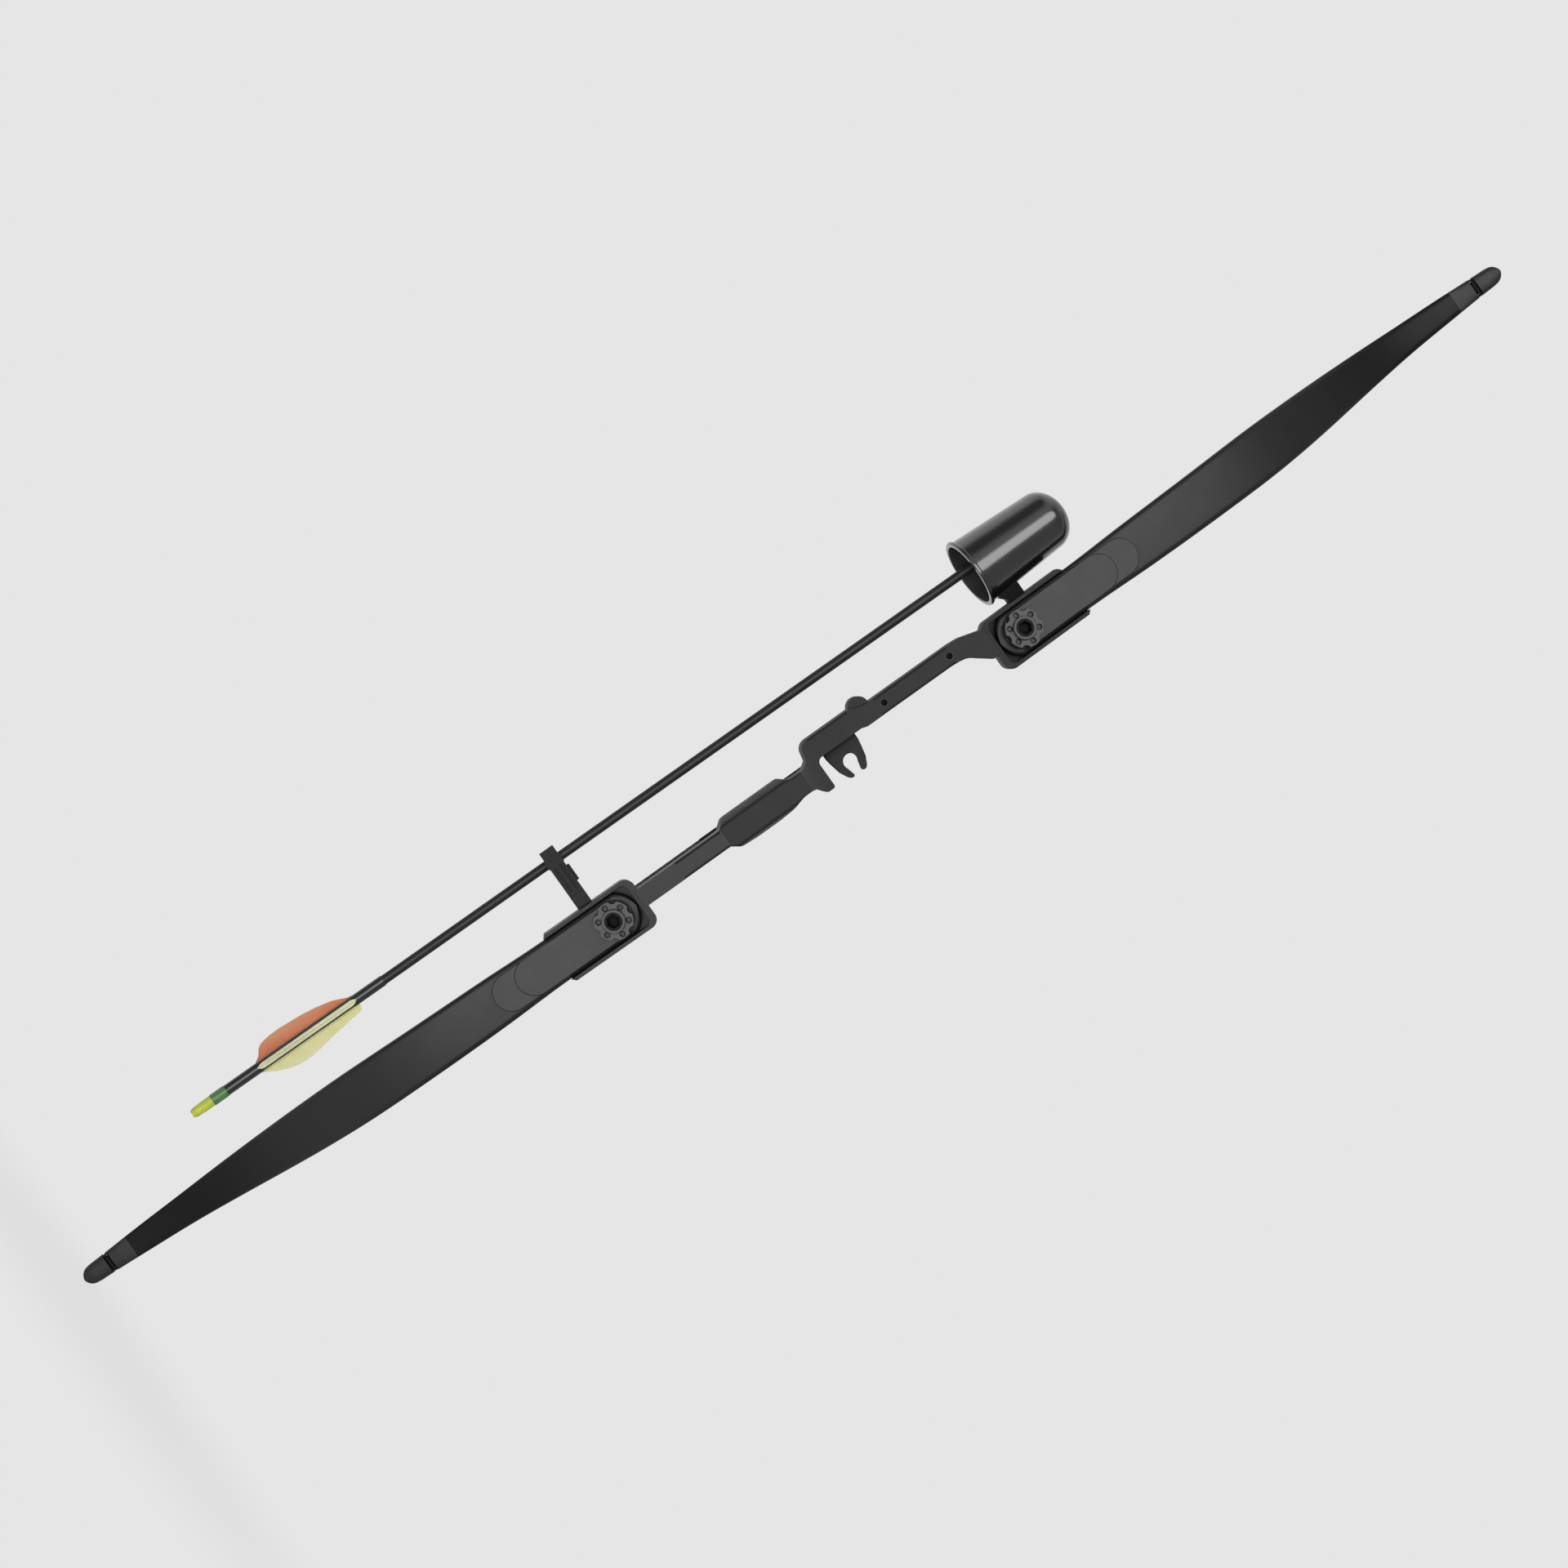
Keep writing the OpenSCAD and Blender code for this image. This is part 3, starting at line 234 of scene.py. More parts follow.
@dataclass(frozen=True)
class Finish:
    """A surface's colour, gloss and relief, in metres. The values in capitals hold for all finishes."""

    name: str
    colour: Colour
    roughness: float
    specular: float = 0.5
    metallic: float = 0.0
    coat: float = 0.0
    coat_roughness: float = 0.03
    coat_ior: float = 1.5
    grain: Grain = Grain.SPECKLE
    size: float = 0.0006
    depth: float = 0.00003
    mottle: float = 0.12
    edge: float = 0.0004
    wear: float = 0.25
    # Reach of the painted shade in sockets and notches, in metres; 0 for none
    painted_shade_reach: float = 0.0
    matt_above: float = 0.0
    # Share of painted shade towards the limb's tips: a matt copy of the colour laid over the gloss
    painted_tip_shade: float = 0.0
    slot: str = ""

    FIBRE_STRETCH = 0.02
    TURNED_ACROSS = 60
    TWIST_SCALE = (1, 1, 0.35)
    TWIST_TURN = (0.5, 0.0, 0.6)
    WAVE_GAIN = 20
    SPECKLE_BROAD = 0.22
    SPECKLE_FINE_SHARE = 0.75
    BUMP = 0.8
    EDGE_SAMPLES = 4
    # Samples of the painted shade in hollows
    HIDDEN_SAMPLES = 6
    MOTTLE_WAVES = 38.0
    MOTTLE_SHARE = 0.55
    MOTTLE_STEP = (0.3, 0.7)
    SMUDGE_WAVES = 70.0
    SMUDGE_SWING = 0.28
    SMUDGE_STEP = (0.42, 0.62)
    MATT_STEP = (-0.004, 0.012)
    WORN_GAIN = 1.6
    WORN_LIFT = 0.03
    WORN_SMOOTHING = 0.3
    WORN_STEP = (0.02, 0.2)
    # Step of the painted shade towards the limb's tips, by distance from the bow's middle in metres
    TIPS_STEP = (0.38, 0.5)
    # Step and colour share of the painted shade in hollows
    HIDDEN_STEP = (0.28, 0.6)
    HIDDEN_SHARE = 0.5

    def bands(self, bench: Bench, vector: Wire, stray: float, detail: float) -> Wire:
        """Return bands that follow one another up the bow.

        Args:
            bench: The material's node tree.
            vector: The coordinates.
            stray: How far the bands stray.
            detail: Number of octaves in their straying.

        Returns:
            The height value.
        """
        settings = {"wave_type": "BANDS", "bands_direction": "Z", "wave_profile": "SIN"}
        scale = 1 / (self.size * self.WAVE_GAIN)
        sockets = {"Vector": vector, "Scale": scale, "Distortion": stray, "Detail": detail}
        return bench.node("ShaderNodeTexWave", settings, sockets, out="Fac")

    def relief(self, bench: Bench) -> Wire:
        """Return the height of the finish's grain, from 0 to 1.

        Args:
            bench: The material's node tree.

        Returns:
            The height value.
        """
        waves = 1 / self.size
        if self.grain is Grain.FIBRE:
            along = bench.scaled((waves, waves, self.FIBRE_STRETCH / self.size))
            return bench.noise(along, 1.0, detail=4.0, rough=0.6)
        if self.grain is Grain.WOUND:
            return self.bands(bench, bench.place(), stray=0.6, detail=1.0)
        if self.grain is Grain.TWIST:
            strands = bench.scaled(self.TWIST_SCALE, self.TWIST_TURN)
            return self.bands(bench, strands, stray=1.2, detail=2.0)
        if self.grain is Grain.FOAM:
            cells = {"Vector": bench.place(), "Scale": waves}
            walls = {"feature": "DISTANCE_TO_EDGE"}
            return bench.node("ShaderNodeTexVoronoi", walls, cells, out="Distance")
        if self.grain is Grain.POLISH:
            return bench.noise(bench.place(), waves, detail=1.0, rough=0.4)
        if self.grain is Grain.TURNED:
            rings = bench.scaled((self.TURNED_ACROSS, self.TURNED_ACROSS, waves))
            return bench.noise(rings, 1.0, detail=2.0, rough=0.5)
        fine = bench.noise(bench.place(), waves, detail=4.0, rough=0.65)
        broad = bench.noise(bench.place(), self.SPECKLE_BROAD / self.size, detail=2.0, rough=0.5)
        return fine * self.SPECKLE_FINE_SHARE + broad * (1 - self.SPECKLE_FINE_SHARE)

    def tint(self, bench: Bench, relief: Wire) -> Wire:
        """Return the colour with its broad mottle and the grain's shading.

        Args:
            bench: The material's node tree.
            relief: The grain's height.

        Returns:
            The colour.
        """
        dark = tuple(c * (1 - self.mottle) for c in self.colour)
        light = tuple(min(1.0, c * (1 + self.mottle)) for c in self.colour)
        broad = bench.noise(bench.place(), self.MOTTLE_WAVES, detail=3.0, rough=0.6)
        both = broad * self.MOTTLE_SHARE + relief * (1 - self.MOTTLE_SHARE)
        return bench.blend(both.step(*self.MOTTLE_STEP), dark, light)

    def build(self) -> bpy.types.Material:
        """Make the material.

        Returns:
            A new material.
        """
        material = bpy.data.materials.new(self.name)
        material.use_nodes = True
        bench = Bench(material.node_tree)
        relief = self.relief(bench)
        colour = self.tint(bench, relief)
        smudge = bench.noise(bench.place(), self.SMUDGE_WAVES, detail=4.0, rough=0.7)
        rough = self.roughness * (1 - self.SMUDGE_SWING / 2 + smudge * self.SMUDGE_SWING)
        if self.matt_above > 0:
            height = bench.parts(bench.place())[2]
            rough = rough + height.step(*self.MATT_STEP) * self.matt_above
        soft = self.soft_edge(bench)
        bump = {"Height": relief, "Distance": self.depth, "Strength": self.BUMP, "Normal": soft}
        normal = bench.node("ShaderNodeBump", {}, bump)
        if self.wear > 0:
            worn = self.worn_edge(bench) * smudge.step(*self.SMUDGE_STEP) * self.wear
            pale = tuple(min(1.0, c * self.WORN_GAIN + self.WORN_LIFT) for c in self.colour)
            colour = bench.blend(worn, colour, pale)
            rough = rough - worn * (self.WORN_SMOOTHING * self.roughness)
        sockets = {
            "Base Color": colour,
            "Roughness": rough,
            "Metallic": self.metallic,
            "Specular IOR Level": self.specular,
            "Coat Weight": self.coat,
            "Coat Roughness": self.coat_roughness,
            "Coat IOR": self.coat_ior,
            "Normal": normal,
        }
        shader = bench.node("ShaderNodeBsdfPrincipled", {}, sockets)
        # Painted shade: a darker matt copy of the colour laid in sockets and notches
        if self.painted_shade_reach > 0:
            shader = self.shaded(bench, shader)
        # Painted shade: the limb darkens towards its tips, with a matt copy of its colour laid over the
        # gloss
        if self.painted_tip_shade > 0:
            height = bench.parts(bench.place())[2]
            far = abs(height - BOW_MIDDLE * MM).step(*self.TIPS_STEP)
            shader = bench.laid(far * self.painted_tip_shade, shader, bench.matt(self.colour))
        bench.node("ShaderNodeOutputMaterial", {}, {"Surface": shader})
        return material

    def shaded(self, bench: Bench, shader: Wire) -> Wire:
        """Paint shade into a surface's sockets and notches, laying a darker matt copy of its colour where
        ambient occlusion finds it hidden.

        Args:
            bench: The material's node tree.
            shader: The open surface's shader.

        Returns:
            The mixed shader.
        """
        samples = {"samples": self.HIDDEN_SAMPLES}
        open_sky = bench.node("ShaderNodeAmbientOcclusion", samples, {"Distance": self.painted_shade_reach}, out="AO")
        dusk = bench.matt([c * self.HIDDEN_SHARE for c in self.colour])
        return bench.laid((1.0 - open_sky).step(*self.HIDDEN_STEP), shader, dusk)

    def soft_edge(self, bench: Bench) -> Wire:
        """Return a normal that is rounded at the edges."""
        return bench.node("ShaderNodeBevel", {"samples": self.EDGE_SAMPLES}, {"Radius": self.edge})

    def worn_edge(self, bench: Bench) -> Wire:
        """Return a mask of the edges, from 0 on a flat face to 1 on an edge."""
        normals = (self.soft_edge(bench), bench.node("ShaderNodeNewGeometry", out="Normal"))
        return (1.0 - bench.vector("DOT_PRODUCT", *normals, out="Value")).step(*self.WORN_STEP)


@dataclass(frozen=True)
class VaneFinish(Finish):
    """A translucent vane's finish, deeper near the shaft and paler towards the vane's edge."""

    specular: float = 0.3
    grain: Grain = Grain.POLISH
    size: float = 0.004
    depth: float = 0.00001
    mottle: float = 0.05
    edge: float = 0.0002
    wear: float = 0.0
    axis: Point = (-0.0554, -0.005)
    root_r: float = 0.0042
    edge_r: float = 0.0165
    pale: Colour = (0.6, 0.4, 0.3)

    STREAK_SCALE = (300, 300, 40)
    STREAK_TURN = (0.6, 0, 0)
    STREAK_SHARE = 0.3
    PALE_STEP = (0.1, 0.95)

    def tint(self, bench: Bench, relief: Wire) -> Wire:
        """Return the colour, blended outwards from the shaft.

        Args:
            bench: The material's node tree.
            relief: The grain's height.

        Returns:
            The colour.
        """
        off = bench.vector("SUBTRACT", bench.place(), (*self.axis, 0))
        flat = bench.vector("MULTIPLY", off, (1, 1, 0))
        out = bench.vector("LENGTH", flat, out="Value")
        drawn = bench.scaled(self.STREAK_SCALE, self.STREAK_TURN)
        streak = bench.noise(drawn, 1.0, detail=2.0, rough=0.5)
        both = out.step(self.root_r, self.edge_r) * (1 - self.STREAK_SHARE) + streak * self.STREAK_SHARE
        return bench.blend(both.step(*self.PALE_STEP), super().tint(bench, relief), self.pale)


class Paint(Enum):
    """The finishes of the bow, the quiver and the arrow."""

    RISER = Finish("riser_paint", (0.011, 0.011, 0.0115), 0.46, specular=0.38, size=0.0007, depth=0.00004,
                   wear=0.55, matt_above=0.16)
    GRIP = Finish("grip_moulding", (0.012, 0.012, 0.0125), 0.55, specular=0.3, size=0.0009, depth=0.00006,
                  edge=0.0006)
    LIMB = Finish("limb_laminate", (0.007, 0.007, 0.0074), 0.4, specular=0.42, grain=Grain.FIBRE,
                  depth=0.00002, mottle=0.18, painted_tip_shade=0.5)
    OVERLAY = Finish("overlay_laminate", (0.014, 0.014, 0.0145), 0.42, specular=0.48, grain=Grain.FIBRE,
                     size=0.0008, mottle=0.2, painted_shade_reach=0.0025)
    TIP = Finish("tip_laminate", (0.012, 0.012, 0.0125), 0.45, specular=0.42, grain=Grain.FIBRE,
                 depth=0.00002, painted_shade_reach=0.004)
    KNOB = Finish("knob_moulding", (0.017, 0.017, 0.0175), 0.42, specular=0.7, edge=0.0007, painted_shade_reach=0.006)
    DARK_STEEL = Finish("blackened_steel", (0.004, 0.004, 0.0042), 0.45, specular=0.12, grain=Grain.TURNED,
                        size=0.0004, depth=0.00002, edge=0.0003, painted_shade_reach=0.006)
    BUSHING = Finish("bushing_steel", (0.01, 0.01, 0.0104), 0.5, specular=0.34, grain=Grain.TURNED,
                     size=0.0004, depth=0.00002)
    BRIGHT_STEEL = Finish("turned_steel", (0.55, 0.56, 0.58), 0.28, metallic=1.0, grain=Grain.TURNED,
                          size=0.0004, depth=0.00002, edge=0.0002)
    BRASS = Finish("turned_brass", (0.62, 0.45, 0.18), 0.3, metallic=1.0, grain=Grain.TURNED, size=0.0004,
                   depth=0.00002, edge=0.0003)
    WASHER = Finish("dark_anodising", (0.05, 0.05, 0.052), 0.4, metallic=0.8, grain=Grain.TURNED,
                    size=0.0004)
    REST = Finish("rest_moulding", (0.006, 0.006, 0.0063), 0.5, specular=0.26, edge=0.0008, painted_shade_reach=0.012)
    FOAM = Finish("foam", (0.008, 0.008, 0.0085), 0.95, specular=0.1, grain=Grain.FOAM, size=0.0012,
                  depth=0.0003, wear=0.0)
    HOOD = Finish("hood_gloss", (0.005, 0.005, 0.0053), 0.25, coat=1.0, coat_roughness=0.15, coat_ior=1.76,
                  grain=Grain.POLISH, size=0.02, wear=0.0, edge=0.0005)
    BRACKET = Finish("bracket_moulding", (0.004, 0.004, 0.0043), 0.6, specular=0.08, size=0.0008,
                     depth=0.00005, edge=0.0006)
    GRIPPER = Finish("gripper_moulding", (0.009, 0.009, 0.0093), 0.55, specular=0.25, size=0.0007,
                     depth=0.00005, edge=0.0005, painted_shade_reach=0.002)
    # The hood's inside: its black plastic painted a lighter matt grey, as painted light inside the mouth
    HOOD_INSIDE_LIT = Finish("hood_inside_painted_light", (0.03, 0.03, 0.031), 0.6, specular=0.3, size=0.001, depth=0.00004,
                         mottle=0.25, wear=0.0)
    CLIP = Finish("clip_rubber", (0.028, 0.028, 0.0285), 0.7, specular=0.3, size=0.0005, wear=0.0)
    SHAFT = Finish("shaft_carbon", (0.012, 0.012, 0.0125), 0.42, specular=0.4, grain=Grain.FIBRE,
                   size=0.0004, mottle=0.25, wear=0.0, edge=0.0001)
    WRAP = Finish("wrap_film", (0.012, 0.012, 0.0123), 0.24, specular=0.75, grain=Grain.POLISH, size=0.004,
                  wear=0.0, edge=0.0001)
    CREST = Finish("crest_film", (0.08, 0.2, 0.06), 0.3, specular=0.6, grain=Grain.POLISH, size=0.004,
                   wear=0.0, edge=0.0001)
    NOCK = Finish("nock_moulding", (0.5, 0.56, 0.05), 0.35, grain=Grain.POLISH, size=0.003, wear=0.0,
                  edge=0.0003)
    VANE_ORANGE = VaneFinish("vane_orange", (0.6, 0.2, 0.1), 0.42, mottle=0.1, pale=(0.62, 0.3, 0.17))
    VANE_YELLOW = VaneFinish("vane_yellow", (0.72, 0.69, 0.34), 0.42, pale=(0.74, 0.72, 0.42))
    VANE_FRONT = VaneFinish("vane_pale", (0.74, 0.74, 0.48), 0.42, pale=(0.78, 0.78, 0.52),
                            slot="vane_yellow")
    STRING = Finish("string_fibre", (0.02, 0.02, 0.021), 0.55, grain=Grain.TWIST, size=0.0011,
                    depth=0.00025, mottle=0.3, wear=0.0)
    SERVING = Finish("serving_thread", (0.006, 0.006, 0.0063), 0.6, specular=0.2, grain=Grain.WOUND,
                     size=0.0005, depth=0.0002, mottle=0.3, wear=0.0)


# The CAD nodes that take each finish
COATS = {
    Paint.RISER: ["riser"],
    Paint.LIMB: [f"{half}_limb" for half in HALVES],
    Paint.OVERLAY: [f"{half}_{kind}_overlay" for half in HALVES for kind in ("long", "short")],
    Paint.TIP: [f"{half}_tip" for half in HALVES],
    Paint.KNOB: [f"{half}_limb_knob" for half in HALVES],
    Paint.WASHER: [f"{half}_limb_washer" for half in HALVES],
    Paint.DARK_STEEL: ["upper_limb_bolt", "lower_limb_bolt", "hood_screws", "bracket_screws",
                       "gripper_screw", "base_screws"],
    Paint.BUSHING: ["sight_bushings"],
    Paint.BRASS: ["limb_inserts"],
    Paint.BRIGHT_STEEL: ["limb_pins", "arrow_point"],
    Paint.REST: ["rest_fork"],
    Paint.FOAM: ["rest_pad", "hood_liner"],
    Paint.HOOD: ["hood"],
    Paint.BRACKET: ["hood_bracket"],
    Paint.GRIPPER: ["gripper_base", "gripper_arm"],
    Paint.CLIP: ["gripper_lining"],
    Paint.SHAFT: ["arrow_shaft"],
    Paint.WRAP: ["arrow_wrap"],
    Paint.CREST: ["arrow_crest"],
    Paint.NOCK: ["arrow_nock"],
    Paint.VANE_ORANGE: ["vane_orange"],
    Paint.VANE_YELLOW: ["vane_yellow_side", "vane_yellow_front"],
    Paint.STRING: ["bowstring"],
    Paint.SERVING: ["center_serving", "upper_string_loop", "lower_string_loop", "upper_loop_serving",
                    "lower_loop_serving"],
    Paint.GRIP: ["grip"],
}


class Palette(dict[Paint, bpy.types.Material]):
    """The finishes' materials, each made at its first use, and what puts them on pieces."""

    def __missing__(self, paint: Paint) -> bpy.types.Material:
        """Make a finish's material."""
        self[paint] = paint.value.build()
        return self[paint]

    def coat(self, piece: Piece, paint: Paint) -> None:
        """Give a piece one finish all over."""
        piece.data.materials.clear()
        piece.data.materials.append(self[paint])

    def second(self, piece: Piece, paint: Paint,
               on: Callable[[bpy.types.MeshPolygon], bool]) -> None:
        """Give the faces that a test picks out a second finish."""
        piece.data.materials.append(self[paint])
        piece.data.polygons.foreach_set("material_index", [int(on(face)) for face in piece.data.polygons])

    def fit(self, piece: Piece, paint: Paint, node: str, body: str = "bow") -> Piece:
        """Dress a piece and put it in a CAD node's place.

        Args:
            piece: The piece.
            paint: Its finish.
            node: The node that it replaces.
            body: The body that it rides on.

        Returns:
            The piece.
        """
        self.coat(piece, paint)
        paint.value.slot or paint.value.name
        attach(piece, body)
        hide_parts(node)
        log.info("%s: %d faces", piece.name, len(piece.data.polygons))
        return piece


def placed(name: str, data: bpy.types.ID) -> Piece:
    """Put a new object in the scene.

    Args:
        name: The object's name.
        data: Its mesh, lamp or camera.

    Returns:
        The object.
    """
    made = bpy.data.objects.new(name, data)
    bpy.context.scene.collection.objects.link(made)
    return made


class Mesh:
    """Turns a bmesh into a finished piece."""

    # Where a rounded corner has its points, and the most of a side that the rounding takes
    CORNER_SHARES = (0.0, 1 / 3, 2 / 3, 1.0)
    SIDE_SHARE = 0.45

    @staticmethod
    def data(name: str, shape: Shape) -> bpy.types.Mesh:
        """Write a shape to new mesh data.

        Args:
            name: The data's name.
            shape: The shape, which is freed.

        Returns:
            The data.
        """
        made = bpy.data.meshes.new(name)
        shape.to_mesh(made)
        shape.free()
        return made

    @staticmethod
    def shade(data: bpy.types.Mesh, smooth_under: float) -> None:
        """Shade a mesh smooth wherever its faces meet at less than an angle in degrees."""
        data.shade_smooth()
        data.set_sharp_from_angle(angle=math.radians(smooth_under))

    @staticmethod
    def piece(name: str, shape: Shape, smooth_under: float = SMOOTH_UNDER) -> Piece:
        """Make an object at the origin from a shape whose place is in its vertices.

        Args:
            name: The piece's name.
            shape: The shape, which is freed.
            smooth_under: Edges flatter than this angle are shaded smooth, in degrees.

        Returns:
            The new object.
        """
        bmesh.ops.remove_doubles(shape, verts=shape.verts, dist=MERGED)
        bmesh.ops.recalc_face_normals(shape, faces=shape.faces)
        data = Mesh.data(name, shape)
        Mesh.shade(data, smooth_under)
        return placed(name, data)

    @staticmethod
    def lathed(outline: Iterable[Point], steps: int) -> Shape:
        """Spin an outline round the z axis.

        Args:
            outline: Its radii and heights, in millimetres.
            steps: Number of faces round the axis.

        Returns:
            The shape.
        """
        shape = bmesh.new()
        verts = [shape.verts.new((r * MM, 0.0, h * MM)) for r, h in outline]
        edges = [shape.edges.new(pair) for pair in zip(verts, verts[1:])]
        bmesh.ops.spin(shape, geom=verts + edges, cent=(0, 0, 0), axis=(0, 0, 1), dvec=(0, 0, 0),
                       angle=math.tau, steps=steps, use_merge=True, use_duplicate=False)
        return shape

    @staticmethod
    def tube(rings: int, sides: int, place: Callable[[int, int], Vector]) -> Shape:
        """Cut a closed cylinder into rings and put each point in its place.

        Args:
            rings: Number of rings, with both ends.
            sides: Number of points round a ring, a multiple of 4.
            place: Gives the place of a ring's point, from the two numbers.

        Returns:
            The shape.
        """
        shape = bmesh.new()
        bmesh.ops.create_cone(shape, cap_ends=True, segments=sides, radius1=1.0, radius2=1.0, depth=1.0)
        upright = [e for e in shape.edges if abs(e.verts[0].co.z - e.verts[1].co.z) > 0.5]
        bmesh.ops.subdivide_edges(shape, edges=upright, cuts=rings - 2, use_grid_fill=True)
        for vert in shape.verts:
            ring = round((vert.co.z + 0.5) * (rings - 1))
            side = round(math.atan2(vert.co.y, vert.co.x) / math.tau * sides) % sides
            vert.co = place(ring, side)
        return shape

    @staticmethod
    def softened(corners: Sequence[Point], radius: float) -> list[Point]:
        """Round an outline's corners with four points each.

        Args:
            corners: The outline's corners in order.
            radius: How far from each corner the rounding starts.

        Returns:
            The rounded outline.
        """
        found = []
        for before, corner, after in zip([corners[-1], *corners], corners, [*corners[1:], corners[0]]):
            middle = Vector(corner)
            arms = [Vector(before) - middle, Vector(after) - middle]
            first, last = (middle + a.normalized() * min(radius, a.length * Mesh.SIDE_SHARE) for a in arms)
            for q in Mesh.CORNER_SHARES:
                bent = first * (1 - q) ** 2 + middle * (2 * q * (1 - q)) + last * q ** 2
                found.append((bent.x, bent.y))
        return found

    @staticmethod
    def cut(piece: Piece, cutter: Shape) -> None:
        """Take a shape out of a piece.

        Args:
            piece: The piece.
            cutter: The shape that is taken out, which is freed.
        """
        tool = Mesh.piece("cutter", cutter)
        bore = piece.modifiers.new("bore", "BOOLEAN")
        bore.object = tool
        bore.operation = "DIFFERENCE"
        Mesh.baked(piece)
        bpy.data.objects.remove(tool)
        Mesh.shade(piece.data, SMOOTH_UNDER)

    @staticmethod
    def baked(piece: Piece) -> None:
        """Apply a piece's modifiers to its mesh.

        Args:
            piece: The piece.
        """
        graph = bpy.context.evaluated_depsgraph_get()
        graph.update()
        solid = bpy.data.meshes.new_from_object(piece.evaluated_get(graph))
        piece.modifiers.clear()
        piece.data = solid


@dataclass
class SubAssembly:
    """A group of the bow's pieces, built and dressed together."""

    palette: Palette

    def build(self) -> None:
        """Build the pieces and put them in their nodes' places."""
        raise NotImplementedError


@dataclass
class Grip(SubAssembly):
    """The moulded grip, rounded from the CAD sleeve. The voxel is in metres, the rest in millimetres."""

    voxel: float = 0.0008
    passes: int = 8
    pull: float = 0.5
    sunk: float = 0.9
    rim_within: float = 0.1

    def build(self) -> None:
        """Round the sleeve's edges as a moulding has them, with its ends let into the riser."""
        low, high = (corner.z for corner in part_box("grip"))
        shape = bmesh.new()
        shape.from_mesh(NODES["grip"].data)
        bmesh.ops.remove_doubles(shape, verts=shape.verts, dist=MERGED)
        for end, way in ((low, -1), (high, 1)):
            rim = [v for v in shape.verts if abs(v.co.z - end) < self.rim_within * MM]
            bmesh.ops.translate(shape, verts=rim, vec=(0, 0, way * self.sunk * MM))
        piece = placed("moulded_grip", Mesh.data("moulded_grip", shape))
        remesh = piece.modifiers.new("remesh", "REMESH")
        remesh.mode = "VOXEL"
        remesh.voxel_size = self.voxel
        smooth = piece.modifiers.new("smooth", "SMOOTH")
        smooth.factor = self.pull
        smooth.iterations = self.passes
        Mesh.baked(piece)
        piece.data.shade_smooth()
        self.palette.fit(piece, Paint.GRIP, "grip")


@dataclass
class Hood(SubAssembly):
    """The quiver's domed hood, lathed about its own axis, sizes in millimetres."""

    place: Place = (-48.8, -8.0, 168.4)
    lean: float = 9.0
    mouth_r: float = 23.9
    top_r: float = 20.7
    wall_l: float = 62.0
    dome_h: float = 16.4
    wall_t: float = 2.2
    lip_h: float = 3.0
    lip_out: float = 1.2
    rim: Rows = ((0.5, 0.0), (0.14, 0.16), (0.0, 0.5))
    outer_rows: tuple[float, ...] = (50, 30, 15, 6, 3.3)
    inner_rows: tuple[float, ...] = (5, 20, 40)
    inside_from: float = 0.3
    dome_arc: tuple[int, ...] = tuple(range(90, -1, -6))
    lip_arc: tuple[int, ...] = tuple(range(84, -97, -15))
    steps: int = 128
    smooth_under: float = 50.0

    def wall(self, mouth: float, top: float, rows: Iterable[float]) -> list[Point]:
        """Return the conical wall's radii and heights, from its radii at the mouth and the dome."""
        return [(mouth - (mouth - top) * q / self.wall_l, q) for q in rows]

    def profile(self) -> list[Point]:
        """Return the wall's outline from the dome's outside round the lip to its inside.

        Returns:
            Points, as radius and height.
        """
        arc = [math.radians(a) for a in self.dome_arc]
        dome = [(self.top_r * math.cos(a), self.wall_l + self.dome_h * math.sin(a)) for a in arc]
        outer = self.wall(self.mouth_r, self.top_r, self.outer_rows)
        bead = self.lip_h / 2
        centre = self.mouth_r + self.lip_out - bead
        turn = [math.radians(a) for a in self.lip_arc]
        lip = [(centre + bead * math.cos(a), bead + bead * math.sin(a)) for a in turn]
        inner_r = self.mouth_r - self.wall_t
        rim = [(inner_r + out, up) for out, up in self.rim]
        top_in = self.top_r - self.wall_t
        inner = self.wall(inner_r, top_in, self.inner_rows)
        rise = self.dome_h - self.wall_t
        vault = [(top_in * math.cos(a), self.wall_l + rise * math.sin(a)) for a in reversed(arc)]
        return dome + outer + lip + rim + inner + vault

    def build(self) -> None:
        """Spin the outline into the hood and set it in its place."""
        lean = Matrix.Rotation(math.radians(-self.lean), 4, "X")
        stand = Matrix.Translation(Vector(self.place) * MM) @ lean
        shape = Mesh.lathed(self.profile(), self.steps)
        bmesh.ops.transform(shape, matrix=stand, verts=shape.verts)
        piece = Mesh.piece("domed_hood", shape, self.smooth_under)
        self.palette.fit(piece, Paint.HOOD, "hood")
        back = stand.inverted()

        def inside(face: bpy.types.MeshPolygon) -> bool:
            """Tell whether a face looks at the hood's own axis."""
            at, way = back @ face.center, back.to_3x3() @ face.normal
            return at.x * way.x + at.y * way.y < 0 and at.z > self.lip_h * self.inside_from * MM

        # The inner faces take the lighter grey of painted light
        self.palette.second(piece, Paint.HOOD_INSIDE_LIT, inside)


